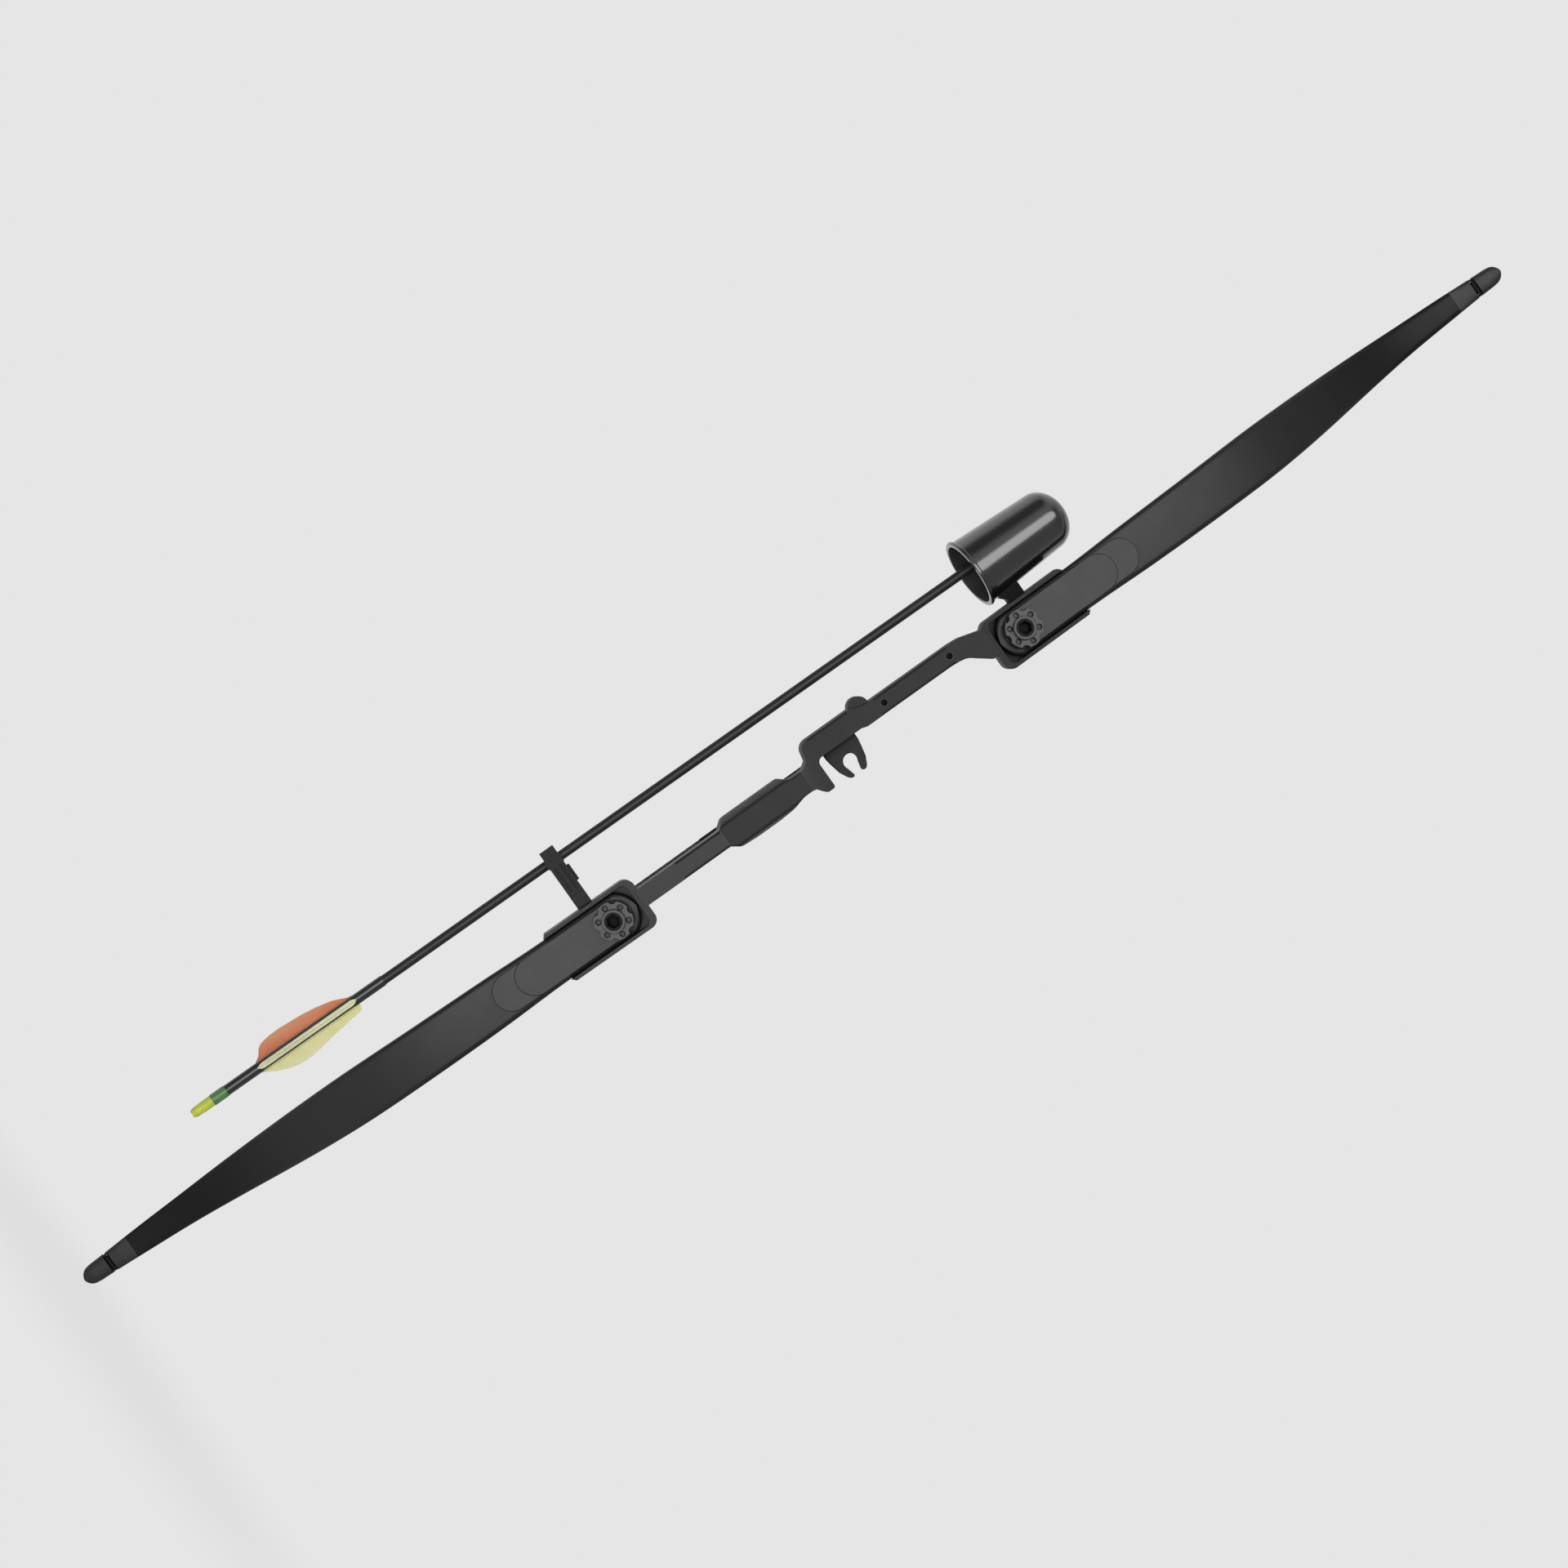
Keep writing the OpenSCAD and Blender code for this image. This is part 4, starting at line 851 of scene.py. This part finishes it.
@dataclass(frozen=True)
class LimbLine:
    """The line of a limb's back face and its section, in millimetres along the limb from the bolt."""

    reach: float = 164.0
    front: float = 20.3
    lean: float = 10.0
    start: float = -20.0
    pace: float = 2.0
    nock: float = 453.5
    end: float = 474.5
    butt_r: float = 17.2
    butt_least: float = 0.04
    nock_half: float = 7.3
    tip_in: float = 0.8
    tip_least: float = 0.01
    groove_x: float = 6.1
    groove_r: float = 1.3
    groove_walls: tuple[float, ...] = (1.32, 1.7, 2.0)
    ring_gap: float = 6.0
    rings: int = 73
    tip_gap: float = 2.0
    tip_rings: tuple[int, int] = (-9, 7)
    bevel_w: float = 2.4
    bevel_t: float = 1.4
    belly_cut: float = 0.8
    bend: Rows = ((-20, 10), (97, 10), (130, 16), (170, 23.5), (215, 31), (260, 38), (305, 40.6),
                  (350, 35.2), (390, 23.5), (425, 11.5), (460, 2), (480, 1))
    widths: Rows = ((0, 15.5), (45, 15.5), (100, 16.9), (160, 17.7), (215, 18), (260, 17), (305, 15.2),
                    (350, 12.9), (390, 10.6), (425, 8.9), (453.5, 7.3), (474.5, 6.5))
    thicks: Rows = ((0, 7.5), (97, 7.5), (160, 6.2), (260, 5), (350, 4.4), (425, 4.2), (480, 4.2))

    @staticmethod
    def smooth(rows: Rows, x: float) -> float:
        """Return a smooth value between the rows of a table.

        Args:
            rows: Places and values in order.
            x: The place asked for.

        Returns:
            The value there, on cubic pieces that run level beside a level piece.
        """
        def slope(i: int) -> float:
            """Return the slope at a row."""
            a, b = max(i - 1, 0), min(i + 1, len(rows) - 1)
            level = rows[i][1] in (rows[a][1], rows[b][1])
            return 0.0 if level and a < i < b else (rows[b][1] - rows[a][1]) / (rows[b][0] - rows[a][0])

        if x <= rows[0][0]:
            return rows[0][1]
        i = max(k for k in range(len(rows) - 1) if k == 0 or x >= rows[k][0])
        h = rows[i + 1][0] - rows[i][0]
        q = min((x - rows[i][0]) / h, 1.0)
        return ((2 * q ** 3 - 3 * q ** 2 + 1) * rows[i][1] + (q ** 3 - 2 * q ** 2 + q) * h * slope(i)
                + (3 * q ** 2 - 2 * q ** 3) * rows[i + 1][1] + (q ** 3 - q ** 2) * h * slope(i + 1))

    def heading(self, s: float) -> Vector:
        """Return the limb's direction in the plane of y and z."""
        turn = math.radians(self.smooth(self.bend, s))
        return Vector((math.sin(turn), math.cos(turn)))

    @cached_property
    def path(self) -> list[Vector]:
        """Lay out the back face's points.

        Returns:
            The points, one every pace from the butt.
        """
        found = [Vector((-self.front, self.reach)) + self.heading(0) * self.start]
        for k in range(int((self.end - self.start) / self.pace) + 2):
            found.append(found[-1] + self.heading(self.start + (k + 0.5) * self.pace) * self.pace)
        return found

    @property
    def round_from(self) -> float:
        """Return where the tip starts to turn round."""
        return self.end - self.nock_half

    def point(self, x: float, t: float, s: float) -> Vector:
        """Return a point of the upper limb.

        Args:
            x: Its distance right of the middle.
            t: Its depth behind the back face.
            s: Its place along the limb.

        Returns:
            The point in metres.
        """
        share = (s - self.start) / self.pace
        i = int(share)
        place = self.path[i].lerp(self.path[i + 1], share - i)
        ahead = self.heading(s)
        return Vector((x, place.x + t * ahead.y, BOW_MIDDLE + place.y - t * ahead.x)) * MM

    def half(self, s: float) -> float:
        """Return half the limb's width, with its round butt, its nock grooves and its round tip.

        Args:
            s: The place along the limb.

        Returns:
            Half the width.
        """
        if s < 0:
            return min(self.widths[0][1], math.sqrt(max(self.butt_r ** 2 - s ** 2, self.butt_least)))
        off = abs(s - self.nock)
        if off < self.groove_r:
            return self.groove_x - math.sqrt(self.groove_r ** 2 - off ** 2)
        if s > self.round_from:
            across = 1 - ((s - self.round_from) / self.nock_half) ** 2
            return (self.nock_half - self.tip_in) * math.sqrt(max(across, self.tip_least))
        return self.smooth(self.widths, s)

    def stations(self, first: float) -> list[float]:
        """Return the places of a limb's rings, close together where its outline turns.

        Args:
            first: The first place.

        Returns:
            The places in order.
        """
        butt = [self.butt_r * -math.cos(math.radians(a)) for a in range(1, 90, 8)]
        plain = [self.ring_gap * k for k in range(self.rings)]
        tip = [self.nock + self.tip_gap * k for k in range(*self.tip_rings) if k != 0]
        groove = [self.nock + self.groove_r * math.sin(math.radians(a)) for a in range(-90, 91, 15)]
        walls = [self.nock + side * reach for side in (-1, 1) for reach in self.groove_walls]
        nose = [self.round_from + self.nock_half * math.sin(math.radians(a)) for a in range(10, 91, 8)]
        return sorted(s for s in {*butt, *plain, *tip, *groove, *walls, *nose} if s >= first)

    def pocket(self) -> Matrix:
        """Return the frame of the upper pocket, with z along the limb and y into the riser."""
        place = Vector((0.0, -self.front, BOW_MIDDLE + self.reach)) * MM
        return Matrix.Translation(place) @ Matrix.Rotation(math.radians(-self.lean), 4, "X")


@dataclass
class Limbs(SubAssembly):
    """The two limbs with their overlays and tip caps, in millimetres."""

    line: LimbLine = field(default_factory=LimbLine)
    first: float = -17.5
    corner_r: float = 1.5
    bevel_most: float = 0.4
    cut_most: float = 0.2
    overlay_t: float = 0.9
    overlay_edge: float = 0.25
    overlay_half: float = 13.1
    overlay_ends: tuple[tuple[str, float, float], ...] = (("long", 96.4, 0.0), ("short", 78.0, -0.9))
    ramp: float = 0.45
    cap_from: float = 433.5
    cap_in: float = 0.5
    cap_base: float = 0.5
    cap_under: float = 0.1
    cap_sides: int = 32
    cap_rise: Rows = ((433.5, 0.05), (437.5, 0.6), (445.5, 1.5), (451.5, 1.7), (451.8, 0.3), (455.2, 0.3),
                      (455.5, 2.3), (468.5, 2.6), (474.5, 1.4))
    # Each bore's radius, place along the limb, and its two ends' depths
    bores: tuple[tuple[float, ...], ...] = ((4.3, 0.0, -3.0, 10.0), (2.55, 26.0, 3.1, 10.0))

    def section(self, s: float) -> list[Point]:
        """Return a limb's rounded section, as x and the depth behind the back face.

        Args:
            s: The place along the limb.

        Returns:
            The outline's points.
        """
        line = self.line
        w, t = line.half(s), line.smooth(line.thicks, s)
        b, c = min(line.bevel_w, w * self.bevel_most), min(line.belly_cut, w * self.cut_most)
        corners = [(b - w, 0.0), (w - b, 0.0), (w, line.bevel_t), (w, t - c), (w - c, t), (c - w, t),
                   (-w, t - c), (-w, line.bevel_t)]
        return Mesh.softened(corners, self.corner_r)

    def rise(self, s: float) -> float:
        """Return the cap's height above the limb's back.

        Args:
            s: The place along the limb.

        Returns:
            The height.
        """
        for (a, low), (b, high) in zip(self.cap_rise, self.cap_rise[1:]):
            if s <= b:
                return low + (high - low) * max(0.0, (s - a) / (b - a))
        return self.cap_rise[-1][1]

    def crown(self, s: float) -> list[Point]:
        """Return the cap's crowned section, with its base just inside the limb.

        Args:
            s: The place along the limb.

        Returns:
            The outline's points.
        """
        w, h, base = self.line.half(s) - self.cap_in, self.rise(s), self.cap_base
        half = self.cap_sides // 2
        over = [math.pi * k / half for k in range(half + 1)]
        top = [(w * math.cos(a), base * (1 - math.sin(a) ** 0.5) - h * math.sin(a) ** 0.5) for a in over]
        return top + [(w * math.cos(a), base + self.cap_under) for a in over[1:-1][::-1]]

    @staticmethod
    def half_of(shape: Shape, half: str) -> None:
        """Mirror a shape of the upper half about the bow's middle if it belongs to the lower half.

        Args:
            shape: The shape.
            half: The half that it belongs to.
        """
        if half == "lower":
            turn = Matrix.Translation((0, 0, 2 * BOW_MIDDLE * MM)) @ Matrix.Scale(-1, 4, (0, 0, 1))
            bmesh.ops.transform(shape, matrix=turn, verts=shape.verts)

    def swept(self, section: Callable[[float], list[Point]], first: float) -> Shape:
        """Sweep the section that holds at each place along the limb, from the first place to the tip."""
        rings = [[self.line.point(x, t, s) for x, t in section(s)] for s in self.line.stations(first)]
        return Mesh.tube(len(rings), len(rings[0]), lambda ring, side: rings[ring][side])

    def overlay(self, end: float, level: float) -> Shape:
        """Make an overlay: a round-ended plate with its edge ramped down to what it lies on.

        Args:
            end: Its far end, from the bolt.
            level: Depth of its lower face.

        Returns:
            The shape, in its place on the upper limb.
        """
        shape = bmesh.new()
        bmesh.ops.create_circle(shape, cap_ends=True, segments=ROUND_SIDES, radius=self.overlay_half * MM)
        bmesh.ops.rotate(shape, cent=(0, 0, 0), matrix=UPRIGHT, verts=shape.verts)
        far = [v for v in shape.verts if v.co.z > MERGED]
        bmesh.ops.translate(shape, verts=far, vec=(0, 0, (end - self.overlay_half) * MM))
        bmesh.ops.translate(shape, verts=shape.verts, vec=(0, level * MM, 0))
        walls = bmesh.ops.extrude_face_region(shape, geom=list(shape.faces))["geom"]
        lid = [g for g in walls if isinstance(g, bmesh.types.BMFace)]
        raised = [g for g in walls if isinstance(g, bmesh.types.BMVert)]
        bmesh.ops.translate(shape, verts=raised, vec=(0, -self.overlay_edge * MM, 0))
        bmesh.ops.inset_region(shape, faces=lid, thickness=self.ramp * MM, depth=0.0, use_even_offset=True)
        top = list({v for f in lid for v in f.verts})
        bmesh.ops.translate(shape, verts=top, vec=(0, (self.overlay_edge - self.overlay_t) * MM, 0))
        bmesh.ops.transform(shape, matrix=self.line.pocket(), verts=shape.verts)
        return shape

    def add(self, name: str, shape: Shape, half: str, paint: Paint, node: str) -> Piece:
        """Make a piece of one half of the bow from its shape in the upper half, and name the half."""
        self.half_of(shape, half)
        return self.palette.fit(Mesh.piece(f"{half}_{name}", shape), paint, f"{half}_{node}")

    def bored(self, piece: Piece, half: str) -> None:
        """Bore a limb for its bolt and its locating pin.

        Args:
            piece: The limb.
            half: The half that it belongs to.
        """
        for radius, place, low, high in self.bores:
            tool = bmesh.new()
            bmesh.ops.create_cone(tool, cap_ends=True, segments=BORE_SIDES, radius1=radius * MM,
                                  radius2=radius * MM, depth=(high - low) * MM)
            bmesh.ops.rotate(tool, cent=(0, 0, 0), matrix=UPRIGHT, verts=tool.verts)
            bmesh.ops.translate(tool, vec=(0, (low + high) / 2 * MM, place * MM), verts=tool.verts)
            bmesh.ops.transform(tool, matrix=self.line.pocket(), verts=tool.verts)
            self.half_of(tool, half)
            Mesh.cut(piece, tool)

    def build(self) -> None:
        """Build both halves."""
        for half in HALVES:
            limb = self.swept(self.section, self.first)
            self.bored(self.add("laminated_limb", limb, half, Paint.LIMB, "limb"), half)
            self.add("tip_cap", self.swept(self.crown, self.cap_from), half, Paint.TIP, "tip")
            for kind, end, level in self.overlay_ends:
                plate = self.overlay(end, level)
                self.add(f"{kind}_plate", plate, half, Paint.OVERLAY, f"{kind}_overlay")


@dataclass(frozen=True)
class VaneCut:
    """One vane: its node, its turn about the shaft, its finish, its outline and its foot's two edges."""

    node: str
    turn: float
    paint: Paint
    outline: Rows
    foot: Point


@dataclass
class Vanes(SubAssembly):
    """The arrow's three vanes, in millimetres in the arrow's own frame."""

    place: Place = (-56.0, -5.0, -451.0)
    tilt: float = 0.38
    start: float = 53.0
    wrap_r: float = 3.65
    height: float = 12.4
    sunk: float = 0.2
    blade_t: float = 0.9
    thinning: float = 0.45
    foot_t: float = 0.65
    foot_least: float = 0.05
    foot_in: float = 0.02
    foot_l: float = 78.6
    foot_before: float = 1.0
    foot_sides: int = 24
    foot_rings: int = 40
    point_l: float = 4.5
    point_least: float = 0.05
    ramp_l: float = 2.5
    ramp_least: float = 0.2
    crown_power: float = 0.35
    full: Rows = ((0, 0.04), (3, 0.18), (6.4, 0.38), (11.8, 0.62), (17, 0.81), (22.5, 0.92), (28, 0.97),
                  (35, 0.95), (42, 0.86), (52.5, 0.7), (63, 0.57), (68.5, 0.5), (73.9, 0.44), (76.3, 0.38),
                  (77.4, 0.22), (77.6, 0.05))
    slim: Rows = ((0, 0.05), (3.7, 0.28), (6.4, 0.64), (9, 0.83), (13, 0.92), (18, 0.97), (26, 0.98),
                  (42, 0.87), (52.5, 0.73), (63, 0.5), (68.5, 0.3), (72, 0.14), (75.5, 0.03))

    def cuts(self) -> list[VaneCut]:
        """List the vanes.

        Returns:
            The three vanes.
        """
        return [
            VaneCut("vane_orange", 146.0, Paint.VANE_ORANGE, self.slim, (-37.0, 37.0)),
            VaneCut("vane_yellow_side", 26.0, Paint.VANE_YELLOW, self.full, (-50.0, 37.0)),
            VaneCut("vane_yellow_front", 266.0, Paint.VANE_FRONT, self.full, (-27.0, 40.0)),
        ]

    def blade(self, outline: Rows) -> Shape:
        """Make a blade in the plane of x and z, thinner towards its edge.

        Args:
            outline: Places along the vane and shares of the height.

        Returns:
            The shape.
        """
        shape = bmesh.new()
        root = self.wrap_r - self.sunk
        columns = len(outline) - 1
        bmesh.ops.create_grid(shape, x_segments=columns, y_segments=6, size=0.5)
        for vert in shape.verts:
            along, high = outline[round((vert.co.x + 0.5) * columns)]
            share = vert.co.y + 0.5
            vert.co = Vector((root + (self.height * high + self.sunk) * share, 0.0, along)) * MM
        shape.normal_update()
        bmesh.ops.solidify(shape, geom=list(shape.faces), thickness=self.blade_t * MM)
        reach = [v.co.y for v in shape.verts]
        bmesh.ops.translate(shape, verts=shape.verts, vec=(0, -(min(reach) + max(reach)) / 2, 0))
        for vert in shape.verts:
            out = (vert.co.x / MM - root) / self.height
            vert.co.y *= 1.0 - self.thinning * min(1.0, max(0.0, out))
        return shape

    def foot(self, edges: Point) -> Shape:
        """Make a foot that hugs the wrap, pointed at both ends.

        Args:
            edges: Its two edges, in degrees from the blade.

        Returns:
            The shape.
        """
        half = self.foot_sides // 2

        def place(ring: int, side: int) -> Vector:
            """Place a point of the foot.

            Args:
                ring: Its ring, counted from the arrow's nock.
                side: Its number round the ring.

            Returns:
                The point in metres.
            """
            share = ring / (self.foot_rings - 1)
            along = self.foot_l * share - self.foot_before
            from_end = min(share, 1 - share) * self.foot_l
            narrow = math.sin(math.pi / 2 * min(1.0, self.point_least + from_end / self.point_l))
            outer = side < half
            across = (side if outer else self.foot_sides - 1 - side) / (half - 1)
            angle = math.radians((edges[0] + (edges[1] - edges[0]) * across) * narrow)
            crown = math.sin(math.pi * min(1.0, max(0.0, across))) ** self.crown_power
            ramp = min(1.0, self.ramp_least + from_end / self.ramp_l)
            rise = self.foot_least + self.foot_t * crown * ramp
            radius = self.wrap_r + (rise if outer else self.foot_in)
            return Vector((radius * math.cos(angle), radius * math.sin(angle), along)) * MM

        return Mesh.tube(self.foot_rings, self.foot_sides, place)

    def build(self) -> None:
        """Build the vanes on the arrow."""
        place = Matrix.Translation(Vector(self.place) * MM)
        tilt = Matrix.Rotation(math.radians(self.tilt), 4, "Y")
        root = place @ tilt @ Matrix.Translation((0, 0, self.start * MM))
        for cut in self.cuts():
            shape = self.blade(cut.outline)
            foot = Mesh.data("foot", self.foot(cut.foot))
            shape.from_mesh(foot)
            bpy.data.meshes.remove(foot)
            stand = root @ Matrix.Rotation(math.radians(cut.turn), 4, "Z")
            bmesh.ops.transform(shape, matrix=stand, verts=shape.verts)
            self.palette.fit(Mesh.piece(f"{cut.node}_blade", shape), cut.paint, cut.node, "arrow")


@dataclass
class StringWork(SubAssembly):
    """The twisted bowstring and the thread wound round it, in millimetres."""

    string_y: float = 159.566
    string_end: float = 502.252
    string_r: float = 1.0
    strands: int = 5
    strand_sides: int = 5
    lobe_in: float = 0.2
    lobe_power: float = 0.7
    twist: float = 30.0
    ring_gap: float = 2.0
    thread: float = 0.8
    thread_in: float = 0.14
    taper_l: float = 1.2
    middle_z: float = 4.0
    middle_l: float = 150.0
    middle_r: float = 1.3
    loop_l: float = 14.0
    loop_r: float = 2.5
    steps: int = 24
    smooth_under: float = 75.0

    def string(self) -> Shape:
        """Make the string by turning a lobed outline as it is drawn up the bow.

        Returns:
            The shape.
        """
        shape = bmesh.new()
        sides = self.strands * self.strand_sides
        bmesh.ops.create_circle(shape, cap_ends=True, segments=sides, radius=self.string_r * MM)
        for vert in shape.verts:
            lobe = abs(math.cos(math.atan2(vert.co.y, vert.co.x) * self.strands / 2))
            vert.co *= 1 - self.lobe_in + self.lobe_in * lobe ** self.lobe_power
        length = 2 * self.string_end
        steps = round(length / self.ring_gap)
        bmesh.ops.spin(shape, geom=list(shape.faces), cent=(0, 0, 0), axis=(0, 0, 1),
                       dvec=(0, 0, length / steps * MM), angle=math.tau * length / self.twist, steps=steps,
                       use_merge=False, use_duplicate=False)
        foot = Vector((0, self.string_y, BOW_MIDDLE - self.string_end)) * MM
        bmesh.ops.translate(shape, vec=foot, verts=shape.verts)
        return shape

    def wound(self, low: float, length: float, radius: float, taper: float) -> Shape:
        """Make a stretch of wound thread.

        Args:
            low: Height of its lower end.
            length: Its length.
            radius: Its radius over the thread.
            taper: Share of the radius left at its two ends.

        Returns:
            The shape.
        """
        turns = round(length / self.thread)
        points = [(0.0, 0.0)]
        for k in range(2 * turns + 1):
            along = length * k / (2 * turns)
            near = min(1.0, min(along, length - along) / self.taper_l)
            full = radius * (taper + (1 - taper) * math.sin(near * math.pi / 2))
            points.append((full - (0.0 if k % 2 else self.thread_in), along))
        points.append((0.0, length))
        shape = Mesh.lathed(points, self.steps)
        bmesh.ops.translate(shape, vec=Vector((0, self.string_y, low)) * MM, verts=shape.verts)
        return shape

    def add(self, name: str, shape: Shape, paint: Paint, node: str) -> None:
        """Make a piece of the string and put it in its node's place."""
        self.palette.fit(Mesh.piece(name, shape, self.smooth_under), paint, node)

    def build(self) -> None:
        """Build the string and its servings."""
        self.add("twisted_string", self.string(), Paint.STRING, "bowstring")
        middle = self.wound(self.middle_z - self.middle_l / 2, self.middle_l, self.middle_r, taper=0.8)
        self.add("wound_center_serving", middle, Paint.SERVING, "center_serving")
        starts = (BOW_MIDDLE + self.string_end, BOW_MIDDLE - self.string_end - self.loop_l)
        for half, start in zip(HALVES, starts):
            wound = self.wound(start, self.loop_l, self.loop_r, taper=0.6)
            self.add(f"{half}_wound_serving", wound, Paint.SERVING, f"{half}_loop_serving")


@dataclass
class Studio:
    """Camera, lamp, surroundings and floor, in metres. A brightness of 1 is white."""

    turn: float = 3.21
    rise: float = 3.40
    distance: float = 4.391
    target: Place = (0.0, -0.020, 0.011)
    focal_px: float = 8204.6
    shift_px: Point = (-42.3, -11.95)
    image_px: float = 1920.0
    sensor: float = 36.0
    far: float = 50.0
    bow_right: float = 0.5810
    bow_up: float = 0.8139
    lamp_place: Place = (-0.12, -2.4, 1.0)
    lamp_aim: Place = (0.0, 0.0, 1.0)
    lamp_size: Point = (1.4, 8.6)
    lamp_power: float = 110.0
    ground: float = 0.79
    beside: float = 0.34
    left_fall: float = 0.18
    high_fall: float = 0.11
    low_fall: float = 0.24
    strip: float = 0.3
    behind_fall: float = 0.6
    flank_fall: float = 0.75
    floor_r: float = 0.6
    floor_y: float = 0.05
    floor_drop: float = 0.001
    floor_grey: float = 0.14

    def camera(self) -> None:
        """Set the camera to the photograph's view, with the bow across the frame's diagonal."""
        a, b = math.radians(self.turn), math.radians(self.rise)
        ahead = Vector((math.sin(a) * math.cos(b), math.cos(a) * math.cos(b), math.sin(b)))
        right = Vector((math.cos(a), -math.sin(a), 0))
        up = right.cross(ahead)
        across = (self.bow_up * up + self.bow_right * right).normalized()
        top = (self.bow_right * up - self.bow_up * right).normalized()
        stand = Matrix((across, top, -ahead)).transposed().to_4x4()
        stand.translation = Vector(self.target) - self.distance * ahead
        lens = bpy.data.cameras.new("camera")
        lens.sensor_width = self.sensor
        lens.lens = self.focal_px / self.image_px * self.sensor
        lens.shift_x, lens.shift_y = (s / self.image_px for s in self.shift_px)
        lens.clip_end = self.far
        camera = placed("camera", lens)
        camera.matrix_world = stand
        bpy.context.scene.camera = camera

    def lamp(self) -> None:
        """Hang a tall soft box in front of the bow."""
        light = bpy.data.lights.new("front_strip", "AREA")
        light.shape = "RECTANGLE"
        light.size, light.size_y = self.lamp_size
        light.energy = self.lamp_power
        held = placed("front_strip", light)
        held.location = self.lamp_place
        aim = Vector(self.lamp_aim) - Vector(self.lamp_place)
        held.rotation_euler = aim.to_track_quat("-Z", "Y").to_euler()
        held.visible_camera = False

    def world(self) -> None:
        """Make the surroundings: pale behind the bow, darker beside the lamp, plain grey to the camera."""
        world = bpy.data.worlds.new("surroundings")
        world.use_nodes = True
        bpy.context.scene.world = world
        bench = Bench(world.node_tree)
        x, y, z = bench.parts(bench.node("ShaderNodeTexCoord", out="Generated"))
        left, low = x * -1.0, z * -1.0
        # The bounds of each step are places on an axis that runs from -1 to 1
        flank = x.step(0.45, 0.75) * y.step(0.05, 0.3)
        lower = 1.0 - z.step(0.3, 0.7) * self.behind_fall
        behind = y.step(-0.15, 0.25) * lower * (1.0 - flank * self.flank_fall)
        sloped = z.step(0.1, 0.9) * self.high_fall + low.step(0.1, 0.9) * self.low_fall
        strip = left.step(0.2, 0.34) * (1.0 - left.step(0.6, 0.78))
        side = self.beside - left.step(0.45, 0.8) * self.left_fall - sloped + strip * self.strip
        level = side + (self.ground - side) * behind
        seen = bench.node("ShaderNodeLightPath", out="Is Camera Ray")
        strength = level + (self.ground - level) * seen
        sockets = {"Color": (1.0, 1.0, 1.0, 1.0), "Strength": strength}
        sky = bench.node("ShaderNodeBackground", {}, sockets)
        bench.node("ShaderNodeOutputWorld", {}, {"Surface": sky})

    def floor(self) -> None:
        """Lay a pale floor under the lower tip that fades into the ground colour."""
        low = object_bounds()[0].z
        shape = bmesh.new()
        bmesh.ops.create_circle(shape, cap_ends=True, segments=ROUND_SIDES, radius=self.floor_r)
        bmesh.ops.translate(shape, vec=(0, self.floor_y, low - self.floor_drop), verts=shape.verts)
        floor = Mesh.piece("floor", shape)
        material = bpy.data.materials.new("floor")
        material.use_nodes = True
        bench = Bench(material.node_tree)
        away = bench.vector("LENGTH", bench.scaled((1, 1, 0)), out="Value")
        rays = bench.node("ShaderNodeLightPath").socket.node.outputs
        shown = [Wire(bench, rays[f"Is {n} Ray"]) for n in ("Camera", "Glossy", "Transmission")]
        strength = (shown[0] + shown[1] + shown[2]) * (self.ground - self.floor_grey)
        pale = bench.node("ShaderNodeEmission", {}, {"Color": (1, 1, 1, 1), "Strength": strength})
        lit = bench.node("ShaderNodeAddShader", {}, {0: bench.matt((self.floor_grey,) * 3), 1: pale})
        mix = bench.laid(away.step(0.05, 0.5), lit, bench.node("ShaderNodeBsdfTransparent"))
        bench.node("ShaderNodeOutputMaterial", {}, {"Surface": mix})
        floor.data.materials.append(material)
        floor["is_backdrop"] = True

    def build(self) -> None:
        """Set up the whole studio."""
        self.camera()
        self.world()
        self.lamp()
        self.floor()


def main() -> None:
    """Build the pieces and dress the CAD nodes."""
    logging.basicConfig(level=logging.INFO, format="%(name)s: %(message)s")
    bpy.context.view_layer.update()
    palette = Palette()
    for paint, names in COATS.items():
        for name in names:
            palette.coat(NODES[name], paint)
            log.info("%s: %s", name, paint.value.name)
    for group in (Grip, Hood, Limbs, Vanes, StringWork):
        group(palette).build()
    Studio().build()
    bpy.context.scene.view_settings.view_transform = "Standard"


if __name__ == "__main__":
    main()
